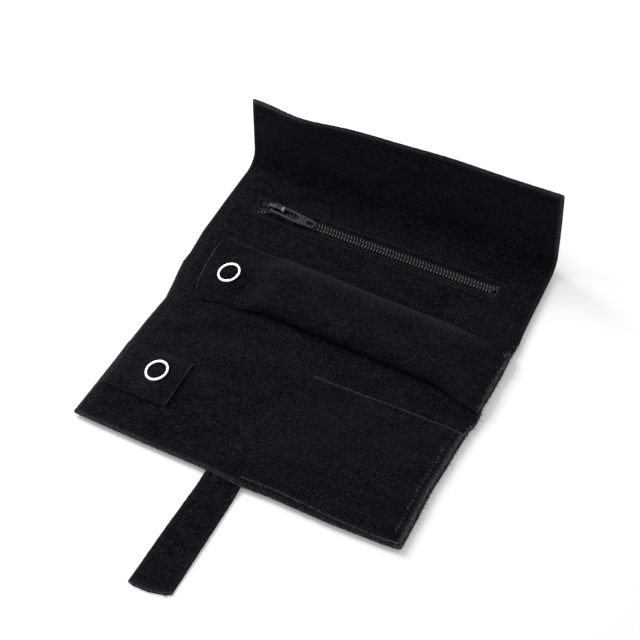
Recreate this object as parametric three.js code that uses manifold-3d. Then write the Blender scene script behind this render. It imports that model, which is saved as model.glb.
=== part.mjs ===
// A velvet travel jewelry roll, lying open with its inside up and its end flap standing.
// Millimetres, +Z up, +X to the right, +Y from the strap towards the flap.
import * as THREE from "three";
import { mergeVertices } from "three/addons/utils/BufferGeometryUtils.js";
import Module from "manifold-3d";

// Cloth and padding
const panelWidth = 148;
const ply = 0.7;
const clearance = 0.3;
const cornerRadius = 1.6;

// Stretches between the creases, from the strap's edge to the flap
const lowerLength = 61.5;
const lowerSpine = 9;
const middleLength = 40;
const upperSpine = 8;
const upperLength = 43.5;
const flapLeftHeight = 37;
const flapRightHeight = 45.4;
const flapLean = 3;
const flapWave = 3;
const flapWaveFromLeft = 25;
const flapWaveWidth = 18;

// Closing strap
const strapWidth = 16.7;
const strapLength = 60;
const strapCrease = 36;
const strapThickness = 1.8;
const strapLeftInset = 62.5;

// Ring roll
const rollLeftInset = 13;
const rollFarReach = 1.5;
const rollFarMargin = 3;
const rollLeftWidth = 32;
const rollWaistWidth = 30.4;
const rollRightWidth = 35;
const rollHeight = 7.6;
const rollSeamHeight = 2.6;
const rollFlatLength = 20;
const rollLeftSwell = 16;
const rollRightSwell = 14;
const rollCornerRadius = 3;

// Necklace tab
const tabLength = 33;
const tabWidth = 25.4;
const tabFromBottom = 19;
const tabRampStart = 3;
const tabRampEnd = 13;

// Ring snaps
const snapInset = 10.6;
const rollSnapFromCrease = 17.3;
const ringDiameter = 10.5;
const ringBand = 1.25;
const ringHeight = 0.7;
const prongCount = 5;
const prongDiameter = 0.6;
const prongReach = 0.45;
const socketHeight = 1.1;
const socketRim = 0.4;
const studBase = 0.7;
const studPost = 1.1;
const studDiameter = 3.8;

// Slip pocket
const pocketWidth = 67;
const pocketHeight = 60.8;
const pocketHem = 9;

// Zip
const zipLeftInset = 15.7;
const zipLength = 115;
const zipFromCrease = 19.8;
const coilWidth = 4.6;
const coilHeight = 1.4;
const coilSpine = 1;
const toothPitch = 1.45;
const toothWidth = 0.42;
const toothOverlap = 0.6;
const toothParting = 0.5;
const tapeWidth = 12;
const tapeThickness = 0.3;
const tapeTail = 4;
const bagPly = 0.3;

// Slider and puller
const sliderFromEnd = 3.2;
const sliderLength = 9;
const sliderShoulder = 0.6;
const sliderPlate = 0.7;
const sliderFlange = 0.7;
const postLength = 1.8;
const postWidth = 1.2;
const bailInset = 1.2;
const bailLength = 6.4;
const bailWidth = 1.5;
const bailThickness = 0.7;
const bailOpening = 1.7;
const pullerLength = 22;
const pullerWide = 5.6;
const pullerNarrow = 4;
const pullerThickness = 0.8;
const pullerBar = 0.9;
const pullerSlot = 9;
const pullerEye = 1.8;
const pullerEyeInset = 1;
const pullerDroop = THREE.MathUtils.degToRad(2.5);

// Heights of the plies. The wadding is as deep as the zip pocket's works, so the inside lies level.
const waddingDepth = bagPly + clearance + sliderPlate + clearance + tapeThickness;
const waddingLow = ply + clearance;
const waddingHigh = waddingLow + waddingDepth;
const liningLow = waddingHigh + clearance;
const inside = liningLow + ply;
const seamLow = inside / 2 - clearance / 2;
const seamHigh = inside / 2 + clearance / 2;

// Places across and along the panel
const left = -panelWidth / 2;
const right = panelWidth / 2;
const lowerCrease = lowerLength;
const middleStart = lowerCrease + lowerSpine;
const middleEnd = middleStart + middleLength;
const upperStart = middleEnd + upperSpine;
const flapCrease = upperStart + upperLength;
const seam = clearance / 2;

// Snap heights above the inside
const studLow = inside + clearance;
const socketLow = studLow + studBase + clearance;
const socketHigh = socketLow + socketHeight;
const liftedLow = socketHigh + clearance;
const liftedHigh = liftedLow + 2 * ply;
const ringLow = liftedHigh + clearance;
const ringRadius = ringDiameter / 2;
const prongCircle = ringRadius - ringBand / 2;
const prongHole = prongDiameter / 2 + clearance;

const wasm = await Module();
wasm.setup();

// Boolean solids
function solid(geometry) {
  const bare = new THREE.BufferGeometry();
  bare.setAttribute("position", geometry.getAttribute("position"));
  bare.setIndex(geometry.getIndex());
  const merged = mergeVertices(bare, 1e-4);
  return new wasm.Manifold(
    new wasm.Mesh({
      numProp: 3,
      vertProperties: new Float32Array(merged.getAttribute("position").array),
      triVerts: new Uint32Array(merged.getIndex().array),
    }),
  );
}

function geometryOf(body) {
  const mesh = body.getMesh();
  const geometry = new THREE.BufferGeometry();
  geometry.setAttribute("position", new THREE.BufferAttribute(mesh.vertProperties, 3));
  geometry.setIndex(new THREE.BufferAttribute(mesh.triVerts, 1));
  return geometry;
}

function block(x0, x1, y0, y1, z0, z1) {
  const box = new THREE.BoxGeometry(x1 - x0, y1 - y0, z1 - z0);
  return solid(box.translate((x0 + x1) / 2, (y0 + y1) / 2, (z0 + z1) / 2));
}

function slab(shape, z0, z1, curveSegments = 6) {
  const depth = z1 - z0;
  const flat = new THREE.ExtrudeGeometry(shape, { depth, bevelEnabled: false, curveSegments });
  return solid(flat.translate(0, 0, z0));
}

function disc(x, y, radius, z0, z1, sides) {
  const round = new THREE.CylinderGeometry(radius, radius, z1 - z0, sides);
  return solid(round.rotateX(Math.PI / 2).translate(x, y, (z0 + z1) / 2));
}

// A ring or cup turned about the Z axis from [radius, height] points.
function turned(profile, sides = 24) {
  const points = profile.map(([r, z]) => new THREE.Vector2(r, z));
  points.push(points[0].clone());
  return solid(new THREE.LatheGeometry(points, sides).rotateX(Math.PI / 2));
}

// A rectangle whose near and far corners are rounded by their own radii.
function roundedPlan(x0, x1, y0, y1, nearRadius, farRadius) {
  const plan = new THREE.Shape();
  plan.moveTo(x0 + nearRadius, y0);
  plan.lineTo(x1 - nearRadius, y0);
  plan.absarc(x1 - nearRadius, y0 + nearRadius, nearRadius, -Math.PI / 2, 0, false);
  plan.absarc(x1 - farRadius, y1 - farRadius, farRadius, 0, Math.PI / 2, false);
  plan.absarc(x0 + farRadius, y1 - farRadius, farRadius, Math.PI / 2, Math.PI, false);
  plan.absarc(x0 + nearRadius, y0 + nearRadius, nearRadius, Math.PI, 1.5 * Math.PI, false);
  return plan;
}

// A closed sheet over a grid of x and y lines, between a low and a high surface.
function sheet(xs, ys, low, high) {
  const columns = xs.length;
  const rows = ys.length;
  const layer = columns * rows;
  const points = [];
  for (const surface of [low, high]) {
    for (const y of ys) {
      for (const x of xs) points.push(x, y, surface(x, y));
    }
  }
  const faces = [];
  const quad = (a, b, c, d) => faces.push(a, b, c, a, c, d);
  for (let j = 0; j < rows - 1; j += 1) {
    for (let i = 0; i < columns - 1; i += 1) {
      const a = j * columns + i;
      quad(a, a + columns, a + columns + 1, a + 1);
      quad(layer + a, layer + a + 1, layer + a + columns + 1, layer + a + columns);
    }
  }
  const wall = (a, b) => quad(a, b, layer + b, layer + a);
  for (let i = 0; i < columns - 1; i += 1) {
    wall(i, i + 1);
    wall((rows - 1) * columns + i + 1, (rows - 1) * columns + i);
  }
  for (let j = 0; j < rows - 1; j += 1) {
    wall((j + 1) * columns, j * columns);
    wall(j * columns + columns - 1, (j + 1) * columns + columns - 1);
  }
  const geometry = new THREE.BufferGeometry();
  geometry.setAttribute("position", new THREE.Float32BufferAttribute(points, 3));
  geometry.setIndex(faces);
  return geometry;
}

// A body through closed sections with the same number of points, capped at its first and last one.
function loft(sections) {
  const around = sections[0].length;
  const points = sections.flat().flatMap((p) => [p.x, p.y, p.z]);
  const faces = [];
  for (let s = 0; s < sections.length - 1; s += 1) {
    for (let k = 0; k < around; k += 1) {
      const a = s * around + k;
      const b = s * around + ((k + 1) % around);
      faces.push(a, b, b + around, a, b + around, a + around);
    }
  }
  const cap = (start, flip) => {
    for (let k = 1; k < around - 1; k += 1) {
      const [b, c] = flip ? [k + 1, k] : [k, k + 1];
      faces.push(start, start + b, start + c);
    }
  };
  cap(0, true);
  cap((sections.length - 1) * around, false);
  const geometry = new THREE.BufferGeometry();
  geometry.setAttribute("position", new THREE.Float32BufferAttribute(points, 3));
  geometry.setIndex(faces);
  return geometry;
}

// Materials
function finish(color, roughness, metalness = 0) {
  return new THREE.MeshStandardMaterial({ color, roughness, metalness });
}
const velvet = () => finish(0x14151a, 0.95);
const padding = () => finish(0xd9d7d0, 1);
const nylon = () => finish(0x16171a, 0.4);
const tapeCloth = () => finish(0x121316, 0.85);
const enamel = () => finish(0x2b2c30, 0.4, 0.6);
const nickel = () => finish(0xd4d6d8, 0.2, 1);

const jewelryRoll = new THREE.Group();

function add(parent, name, body, material) {
  const geometry = geometryOf(body);
  geometry.computeVertexNormals();
  const mesh = new THREE.Mesh(geometry, material);
  mesh.name = name;
  parent.add(mesh);
}

// Grid lines across a stretch: its turned edges and the padded field between them.
function acrossLines(extra = []) {
  const edge = [ply, ply + clearance];
  const lines = [left, ...edge.map((e) => left + e), ...extra, ...edge.map((e) => right - e), right];
  return lines.sort((a, b) => a - b);
}

// How far a point is inside the nearest turned edge, over the width of that edge.
function turnedEdge(distance) {
  return 1 - THREE.MathUtils.clamp((distance - ply) / clearance, 0, 1);
}

// One stretch of cover or lining. Its outer edges are turned in to meet halfway up the padding.
function clothPair(y0, y1, { nearEdge = false, farEdge = false, columns = [], rows = [] }) {
  const xs = acrossLines(columns);
  const ys = [y0, y1, ...rows];
  if (nearEdge) ys.push(y0 + ply, y0 + ply + clearance);
  if (farEdge) ys.push(y1 - ply, y1 - ply - clearance);
  ys.sort((a, b) => a - b);
  const edge = (x, y) => {
    const sides = turnedEdge(Math.min(x - left, right - x));
    const near = nearEdge ? turnedEdge(y - y0) : 0;
    const far = farEdge ? turnedEdge(y1 - y) : 0;
    return Math.max(sides, near, far);
  };
  const coverTop = (x, y) => THREE.MathUtils.lerp(ply, seamLow, edge(x, y));
  const liningUnder = (x, y) => THREE.MathUtils.lerp(liningLow, seamHigh, edge(x, y));
  return {
    cover: sheet(xs, ys, () => 0, coverTop),
    lining: sheet(xs, ys, liningUnder, () => inside),
  };
}

// The padding's plan stays inside the turned edges.
const paddingInset = ply + 2 * clearance;

function snapHole(body, x, y) {
  return body.subtract(disc(x, y, ringRadius + clearance, -inside, 2 * inside, 16));
}

function prongs(x, y, z0, z1, radius) {
  let body = null;
  for (let k = 0; k < prongCount; k += 1) {
    const angle = (2 * Math.PI * k) / prongCount;
    const px = x + prongCircle * Math.cos(angle);
    const py = y + prongCircle * Math.sin(angle);
    const one = disc(px, py, radius, z0, z1, 6);
    body = body ? body.add(one) : one;
  }
  return body;
}

// Lower panel: carries the tab, the slip pocket and the strap.
const snapFromLeft = rollLeftInset + snapInset;
const tabSnapX = left + tabLength - snapInset;
const tabSnapY = tabFromBottom + tabWidth / 2;

function pierced(body, x, y) {
  return body.subtract(prongs(x, y, 0, ringLow, prongHole));
}

function lowerPanel() {
  const y1 = lowerCrease - seam;
  const plies = clothPair(0, y1, { nearEdge: true });
  const plan = slab(roundedPlan(left, right, 0, 2 * y1, cornerRadius, 0), -inside, 2 * inside);
  add(jewelryRoll, "outer_cover_lower", solid(plies.cover).intersect(plan), velvet());
  const lining = solid(plies.lining).intersect(plan);
  add(jewelryRoll, "lining_lower", pierced(lining, tabSnapX, tabSnapY), velvet());
  const pad = block(left + paddingInset, right - paddingInset, paddingInset, y1, waddingLow, waddingHigh);
  const padPlan = roundedPlan(
    left + paddingInset, right - paddingInset, paddingInset, 2 * y1, cornerRadius, 0);
  const cut = pad.intersect(slab(padPlan, -inside, 2 * inside));
  add(jewelryRoll, "wadding_lower", snapHole(cut, tabSnapX, tabSnapY), padding());
}
lowerPanel();

function spine(name, y0, y1) {
  const plies = clothPair(y0 + seam, y1 - seam, {});
  add(jewelryRoll, `outer_cover_${name}`, solid(plies.cover), velvet());
  add(jewelryRoll, `lining_${name}`, solid(plies.lining), velvet());
}
spine("lower_spine", lowerCrease, middleStart);
spine("upper_spine", middleEnd, upperStart);

// Middle panel: lies under the ring roll and carries the stud of its snap.
const rollSnapX = left + snapFromLeft;
const rollSnapY = middleEnd - rollSnapFromCrease;

function middlePanel() {
  const y0 = middleStart + seam;
  const y1 = middleEnd - seam;
  const plies = clothPair(y0, y1, {});
  add(jewelryRoll, "outer_cover_middle", solid(plies.cover), velvet());
  add(jewelryRoll, "lining_middle", pierced(solid(plies.lining), rollSnapX, rollSnapY), velvet());
  const pad = block(left + paddingInset, right - paddingInset, y0, y1, waddingLow, waddingHigh);
  add(jewelryRoll, "wadding_middle", snapHole(pad, rollSnapX, rollSnapY), padding());
}
middlePanel();

// Upper panel: its lining has the zip's window, and the pocket bag takes the wadding's place.
const zipLeft = left + zipLeftInset;
const zipRight = zipLeft + zipLength;
const zipY = upperStart + zipFromCrease;
const coilOuter = coilWidth / 2;
const flangeInner = coilOuter + clearance;
const flangeOuter = flangeInner + sliderFlange;
const windowHalf = flangeOuter + clearance;
const tapeHigh = liningLow - clearance;
const tapeLow = tapeHigh - tapeThickness;
const tapeInner = postWidth / 2 + clearance;
const lowerPlateHigh = tapeLow - clearance;
const lowerPlateLow = lowerPlateHigh - sliderPlate;
const bagHigh = lowerPlateLow - clearance;
const bagLow = bagHigh - bagPly;

function upperPanel() {
  const y0 = upperStart + seam;
  const y1 = flapCrease - seam;
  const plies = clothPair(y0, y1, {});
  add(jewelryRoll, "outer_cover_upper", solid(plies.cover), velvet());
  const window = block(zipLeft, zipRight, zipY - windowHalf, zipY + windowHalf, -inside, 2 * inside);
  add(jewelryRoll, "lining_upper", solid(plies.lining).subtract(window), velvet());
}
upperPanel();

// Pocket bag: a thin tray of cloth behind the zip, its rim sewn up to the lining round the tapes.
function pocketBag() {
  const tapeReach = tapeInner + tapeWidth;
  const rim = clearance + bagPly;
  const x0 = zipLeft - tapeTail - rim;
  const x1 = zipRight + tapeTail + rim;
  const y0 = zipY - tapeReach - rim;
  const y1 = zipY + tapeReach + rim;
  const tray = block(x0, x1, y0, y1, bagLow, tapeHigh);
  const hollow = block(x0 + bagPly, x1 - bagPly, y0 + bagPly, y1 - bagPly, bagHigh, 2 * inside);
  add(jewelryRoll, "zip_pocket_bag", tray.subtract(hollow), tapeCloth());
}
pocketBag();

// Zip tapes, one on each side of the slider's post.
function zipTape(name, side) {
  const inner = zipY + side * tapeInner;
  const outer = zipY + side * (tapeInner + tapeWidth);
  const x0 = zipLeft - tapeTail;
  const x1 = zipRight + tapeTail;
  const tape = block(x0, x1, Math.min(inner, outer), Math.max(inner, outer), tapeLow, tapeHigh);
  add(jewelryRoll, name, tape, tapeCloth());
}
zipTape("zip_tape_upper", 1);
zipTape("zip_tape_lower", -1);

// Zip coils: the loops of each side reach past the middle and lie between those of the other,
// except behind the slider, where they stand apart.
const coilLow = tapeHigh + clearance;
const coilHigh = coilLow + coilHeight;
const sliderLeft = zipLeft + sliderFromEnd;
const sliderRight = sliderLeft + sliderLength;
const postLeft = sliderLeft + sliderPlate;
const meshedLeft = postLeft + postLength + clearance;
const coilLeft = zipLeft + clearance;
const coilRight = zipRight - clearance;

function zipCoil(name, side) {
  const spineEdge = coilOuter - coilSpine;
  const chamfer = toothWidth / 3;
  const phase = side > 0 ? 0.25 : 0.75;
  const outline = new THREE.Shape();
  outline.moveTo(coilLeft, coilOuter);
  outline.lineTo(coilLeft, spineEdge);
  const loops = (from, to, tip) => {
    const count = Math.floor((to - from) / toothPitch);
    for (let k = 0; k < count; k += 1) {
      const x = from + (k + phase) * toothPitch;
      const x0 = x - toothWidth / 2;
      const x1 = x + toothWidth / 2;
      outline.lineTo(x0, spineEdge);
      outline.lineTo(x0, tip + chamfer);
      outline.lineTo(x0 + chamfer, tip);
      outline.lineTo(x1 - chamfer, tip);
      outline.lineTo(x1, tip + chamfer);
      outline.lineTo(x1, spineEdge);
    }
  };
  loops(coilLeft, sliderLeft, toothParting);
  loops(meshedLeft, coilRight, -toothOverlap);
  outline.lineTo(coilRight, spineEdge);
  outline.lineTo(coilRight, coilOuter);
  outline.closePath();
  const depth = coilHeight;
  const flat = new THREE.ExtrudeGeometry(outline, { depth, bevelEnabled: false });
  if (side < 0) flat.rotateX(Math.PI).translate(0, 0, depth);
  add(jewelryRoll, name, solid(flat.translate(0, zipY, coilLow)), nylon());
}
zipCoil("zip_coil_upper", 1);
zipCoil("zip_coil_lower", -1);

// Slider: two plates on a post, flanges that hold the coils together, and a bail on top.
const upperPlateLow = coilHigh + clearance;
const upperPlateHigh = upperPlateLow + sliderPlate;
const bailLeft = sliderLeft + bailInset;
const bailRight = bailLeft + bailLength;

function sliderPlan() {
  const narrow = flangeOuter;
  const wide = flangeOuter + sliderShoulder;
  const plan = new THREE.Shape();
  plan.moveTo(sliderRight, -narrow);
  plan.lineTo(sliderRight, narrow);
  plan.lineTo(sliderRight - sliderLength / 2, narrow);
  plan.quadraticCurveTo(sliderLeft + sliderLength / 3, wide, sliderLeft + sliderFlange, wide);
  plan.lineTo(sliderLeft, wide - sliderFlange);
  plan.lineTo(sliderLeft, sliderFlange - wide);
  plan.lineTo(sliderLeft + sliderFlange, -wide);
  plan.quadraticCurveTo(
    sliderLeft + sliderLength / 3, -wide, sliderRight - sliderLength / 2, -narrow);
  plan.closePath();
  return plan;
}

function bailArch() {
  const arch = new THREE.Shape();
  const springing = upperPlateHigh + bailOpening / 2;
  const crown = upperPlateHigh + bailOpening;
  const root = upperPlateHigh - sliderPlate / 2;
  arch.moveTo(bailLeft, root);
  arch.lineTo(bailLeft, springing);
  arch.quadraticCurveTo(bailLeft, crown + bailThickness, bailLeft + bailOpening, crown + bailThickness);
  arch.lineTo(bailRight - bailOpening, crown + bailThickness);
  arch.quadraticCurveTo(bailRight, crown + bailThickness, bailRight, springing);
  arch.lineTo(bailRight, root);
  arch.lineTo(bailRight - bailThickness, root);
  arch.lineTo(bailRight - bailThickness, springing);
  arch.quadraticCurveTo(bailRight - bailThickness, crown, bailRight - bailOpening, crown);
  arch.lineTo(bailLeft + bailOpening, crown);
  arch.quadraticCurveTo(bailLeft + bailThickness, crown, bailLeft + bailThickness, springing);
  arch.lineTo(bailLeft + bailThickness, root);
  arch.closePath();
  const standing = new THREE.ExtrudeGeometry(arch, {
    depth: bailWidth,
    bevelEnabled: false,
    curveSegments: 6,
  });
  return solid(standing.rotateX(Math.PI / 2).translate(0, bailWidth / 2, 0));
}

function zipSlider() {
  const flange = (side) => {
    const inner = side * flangeInner;
    const outer = side * flangeOuter;
    const start = sliderLeft + sliderLength / 3;
    const low = tapeHigh + clearance;
    const [y0, y1] = [Math.min(inner, outer), Math.max(inner, outer)];
    return block(start, sliderRight, y0, y1, low, upperPlateHigh);
  };
  const post = block(
    postLeft, postLeft + postLength, -postWidth / 2, postWidth / 2, lowerPlateLow, upperPlateHigh);
  const body = slab(sliderPlan(), upperPlateLow, upperPlateHigh)
    .add(slab(sliderPlan(), lowerPlateLow, lowerPlateHigh))
    .add(flange(1))
    .add(flange(-1))
    .add(post)
    .add(bailArch());
  add(jewelryRoll, "zip_slider", body.translate([0, zipY, 0]), enamel());
}
zipSlider();

// Puller: its bar lies under the bail, the slot goes round it, and the eye is at the narrow end.
function zipPuller() {
  const pivotX = bailLeft + bailThickness + clearance + pullerBar;
  const pivotZ = upperPlateHigh + bailOpening / 2;
  const slotHalf = bailWidth / 2 + clearance;
  const start = -pullerBar / 2;
  const end = start + pullerLength;
  const neck = pullerBar / 2 + pullerSlot + pullerWide / 4;
  const outline = new THREE.Shape();
  outline.moveTo(start, -pullerWide / 2);
  outline.lineTo(neck, -pullerWide / 2);
  outline.quadraticCurveTo(neck + pullerWide / 2, -pullerWide / 2, end, -pullerNarrow / 2);
  outline.lineTo(end, pullerNarrow / 2);
  outline.quadraticCurveTo(neck + pullerWide / 2, pullerWide / 2, neck, pullerWide / 2);
  outline.lineTo(start, pullerWide / 2);
  outline.closePath();
  const slot = new THREE.Path();
  slot.moveTo(pullerBar / 2, -slotHalf);
  slot.lineTo(pullerBar / 2, slotHalf);
  slot.lineTo(pullerBar / 2 + pullerSlot - slotHalf, slotHalf);
  slot.absarc(pullerBar / 2 + pullerSlot - slotHalf, 0, slotHalf, Math.PI / 2, -Math.PI / 2, true);
  slot.closePath();
  const eye = new THREE.Path();
  const eyeEnd = end - pullerEyeInset;
  eye.moveTo(eyeEnd - pullerEye, -pullerEye / 2);
  eye.lineTo(eyeEnd - pullerEye, pullerEye / 2);
  eye.lineTo(eyeEnd, pullerEye / 2);
  eye.lineTo(eyeEnd, -pullerEye / 2);
  eye.closePath();
  outline.holes.push(slot, eye);
  const hung = new THREE.Group();
  hung.position.set(pivotX, zipY, pivotZ);
  hung.rotation.y = pullerDroop;
  jewelryRoll.add(hung);
  add(hung, "zip_puller", slab(outline, -pullerThickness / 2, pullerThickness / 2), enamel());
}
zipPuller();

// Flap: hinged on the crease above the inside, standing up, with the lean and wave of soft cloth.
function flap() {
  const standing = new THREE.Group();
  standing.position.set(0, flapCrease, inside + clearance);
  standing.rotation.x = Math.PI / 2;
  jewelryRoll.add(standing);
  const heightAt = (x) =>
    THREE.MathUtils.mapLinear(x, left, right, flapLeftHeight, flapRightHeight);
  const bow = (x, y) => {
    const share = y / heightAt(x);
    const across = (x - left) / panelWidth;
    const wave = (x - left - flapWaveFromLeft) / flapWaveWidth;
    return share * share * (flapLean * across + flapWave * Math.exp(-wave * wave));
  };
  const shaped = (geometry) => {
    const p = geometry.getAttribute("position");
    for (let k = 0; k < p.count; k += 1) {
      const x = p.getX(k);
      const y = (p.getY(k) * heightAt(x)) / flapLeftHeight;
      p.setXYZ(k, x, y, p.getZ(k) - inside - clearance + bow(x, y));
    }
    return geometry;
  };
  const spread = (from, to, steps) =>
    Array.from({ length: steps - 1 }, (_, k) => THREE.MathUtils.lerp(from, to, (k + 1) / steps));
  const columns = spread(left + paddingInset, right - paddingInset, 16);
  const rows = spread(seam, flapLeftHeight - paddingInset, 5);
  const plies = clothPair(seam, flapLeftHeight, { farEdge: true, columns, rows });
  const plan = new THREE.Shape();
  const r = cornerRadius;
  const slope = Math.atan2(flapRightHeight - flapLeftHeight, panelWidth);
  plan.moveTo(left, 0);
  plan.lineTo(right, 0);
  plan.lineTo(right, flapRightHeight - r);
  plan.quadraticCurveTo(right, flapRightHeight, right - r, flapRightHeight - r * Math.tan(slope));
  plan.lineTo(left + r, flapLeftHeight + r * Math.tan(slope));
  plan.quadraticCurveTo(left, flapLeftHeight, left, flapLeftHeight - r);
  plan.closePath();
  const prism = slab(plan, -4 * inside, 4 * inside + flapLean + flapWave);
  add(standing, "outer_cover_flap", solid(shaped(plies.cover)).intersect(prism), velvet());
  add(standing, "lining_flap", solid(shaped(plies.lining)).intersect(prism), velvet());
  const padXs = [left + paddingInset, ...columns, right - paddingInset];
  const padYs = [seam, ...rows, flapLeftHeight - paddingInset];
  const pad = sheet(padXs, padYs, () => waddingLow, () => waddingHigh);
  add(standing, "wadding_flap", solid(shaped(pad)).intersect(prism), padding());
}
flap();

// Ring roll: a velvet tube round its filling, flat at the snapped end and sewn flat at the right seam.
function rollSection(fromLeft, inset, around = 20) {
  const length = panelWidth - rollLeftInset;
  const smooth = THREE.MathUtils.smoothstep;
  const raised = 1 - smooth(fromLeft, rollFlatLength, rollFlatLength + rollLeftSwell);
  const closing = 1 - smooth(fromLeft, length - rollRightSwell, length);
  const corner = Math.max(0, rollCornerRadius - fromLeft);
  const rounding = rollCornerRadius - Math.sqrt(rollCornerRadius ** 2 - corner ** 2);
  const flat = THREE.MathUtils.lerp(rollSeamHeight, 2 * ply, raised);
  const swell = (1 - raised) * closing;
  const height = THREE.MathUtils.lerp(flat, rollHeight, swell) - 2 * inset;
  const waist = THREE.MathUtils.lerp(rollLeftWidth, rollWaistWidth, 1 - raised);
  const full = THREE.MathUtils.lerp(rollRightWidth, waist, closing);
  const far = middleEnd + THREE.MathUtils.mapLinear(fromLeft, 0, length, rollFarReach, -rollFarMargin);
  const width = full - 2 * rounding - 2 * inset;
  const low = THREE.MathUtils.lerp(inside + clearance, liftedLow, raised) + inset;
  const centreY = far - full / 2;
  const power = THREE.MathUtils.lerp(0.35, 0.75, swell);
  const points = [];
  for (let k = 0; k < around; k += 1) {
    const angle = (2 * Math.PI * (k + 0.5)) / around;
    const c = Math.cos(angle);
    const s = Math.sin(angle);
    const y = centreY + (width / 2) * Math.sign(c) * Math.abs(c) ** power;
    const z = low + height / 2 + (height / 2) * Math.sign(s) * Math.abs(s) ** power;
    points.push(new THREE.Vector3(left + rollLeftInset + fromLeft, y, z));
  }
  return points;
}

function ringRoll() {
  const length = panelWidth - rollLeftInset;
  const stations = (from, to, steps) =>
    Array.from({ length: steps + 1 }, (_, k) => THREE.MathUtils.lerp(from, to, k / steps));
  const corner = [0.02, 0.15, 0.4, 1].map((share) => share * rollCornerRadius);
  const swollen = rollFlatLength + rollLeftSwell;
  const sewn = length - rollRightSwell;
  const outer = [
    ...corner,
    ...stations(rollFlatLength, swollen, 5),
    ...stations(swollen, sewn, 6).slice(1),
    ...stations(sewn, length, 5).slice(1),
  ];
  const hollowStart = rollFlatLength + rollLeftSwell / 3;
  const inner = [
    ...stations(hollowStart, swollen, 3),
    ...stations(swollen, sewn, 6).slice(1),
    ...stations(sewn, length, 5).slice(1),
  ];
  const skin = outer.map((s) => rollSection(s, 0));
  const hollow = inner.map((s) => rollSection(s, ply));
  const tube = solid(loft([...skin, ...hollow.reverse()]));
  add(jewelryRoll, "ring_roll", pierced(tube, rollSnapX, rollSnapY), velvet());
  const core = [
    ...stations(swollen - rollLeftSwell / 3, swollen, 2),
    ...stations(swollen, sewn, 6).slice(1),
    sewn + rollRightSwell / 3,
  ];
  const filling = core.map((s) => rollSection(s, ply + clearance));
  add(jewelryRoll, "ring_roll_filling", solid(loft(filling)), padding());
}
ringRoll();

// Necklace tab: two plies sewn together, rising from the left seam to its snap.
function necklaceTab() {
  const low = inside + clearance;
  const profile = new THREE.Shape();
  const thick = 2 * ply;
  profile.moveTo(left, low);
  profile.lineTo(left + tabRampStart, low);
  profile.bezierCurveTo(
    left + (tabRampStart + tabRampEnd) / 2, low,
    left + (tabRampStart + tabRampEnd) / 2, liftedLow,
    left + tabRampEnd, liftedLow);
  profile.lineTo(left + tabLength, liftedLow);
  profile.lineTo(left + tabLength, liftedLow + thick);
  profile.lineTo(left + tabRampEnd, liftedLow + thick);
  profile.bezierCurveTo(
    left + (tabRampStart + tabRampEnd) / 2, liftedLow + thick,
    left + (tabRampStart + tabRampEnd) / 2, low + thick,
    left + tabRampStart, low + thick);
  profile.lineTo(left, low + thick);
  profile.closePath();
  const strip = new THREE.ExtrudeGeometry(profile, {
    depth: tabWidth,
    bevelEnabled: false,
    curveSegments: 8,
  });
  const bent = solid(strip.rotateX(Math.PI / 2).translate(0, tabFromBottom + tabWidth, 0));
  const plan = new THREE.Shape();
  const r = cornerRadius / 2;
  const far = tabFromBottom + tabWidth;
  const tip = left + tabLength;
  plan.moveTo(left, tabFromBottom);
  plan.lineTo(tip - r, tabFromBottom);
  plan.absarc(tip - r, tabFromBottom + r, r, -Math.PI / 2, 0, false);
  plan.absarc(tip - r, far - r, r, 0, Math.PI / 2, false);
  plan.lineTo(left, far);
  plan.closePath();
  const cut = bent.intersect(slab(plan, 0, ringLow));
  add(jewelryRoll, "necklace_tab", pierced(cut, tabSnapX, tabSnapY), velvet());
}
necklaceTab();

// Slip pocket: one ply with a turned hem along its mouth, sewn into the bottom and right seams.
function slipPocket() {
  const low = inside + clearance;
  const x0 = right - pocketWidth;
  const field = block(x0, right, 0, pocketHeight, low, low + ply);
  const hem = block(x0, right, pocketHeight - pocketHem, pocketHeight, low, low + 2 * ply);
  const plan = slab(roundedPlan(left, right, 0, 2 * pocketHeight, cornerRadius, 0), 0, 2 * inside);
  add(jewelryRoll, "slip_pocket", field.add(hem).intersect(plan), velvet());
}
slipPocket();

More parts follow.
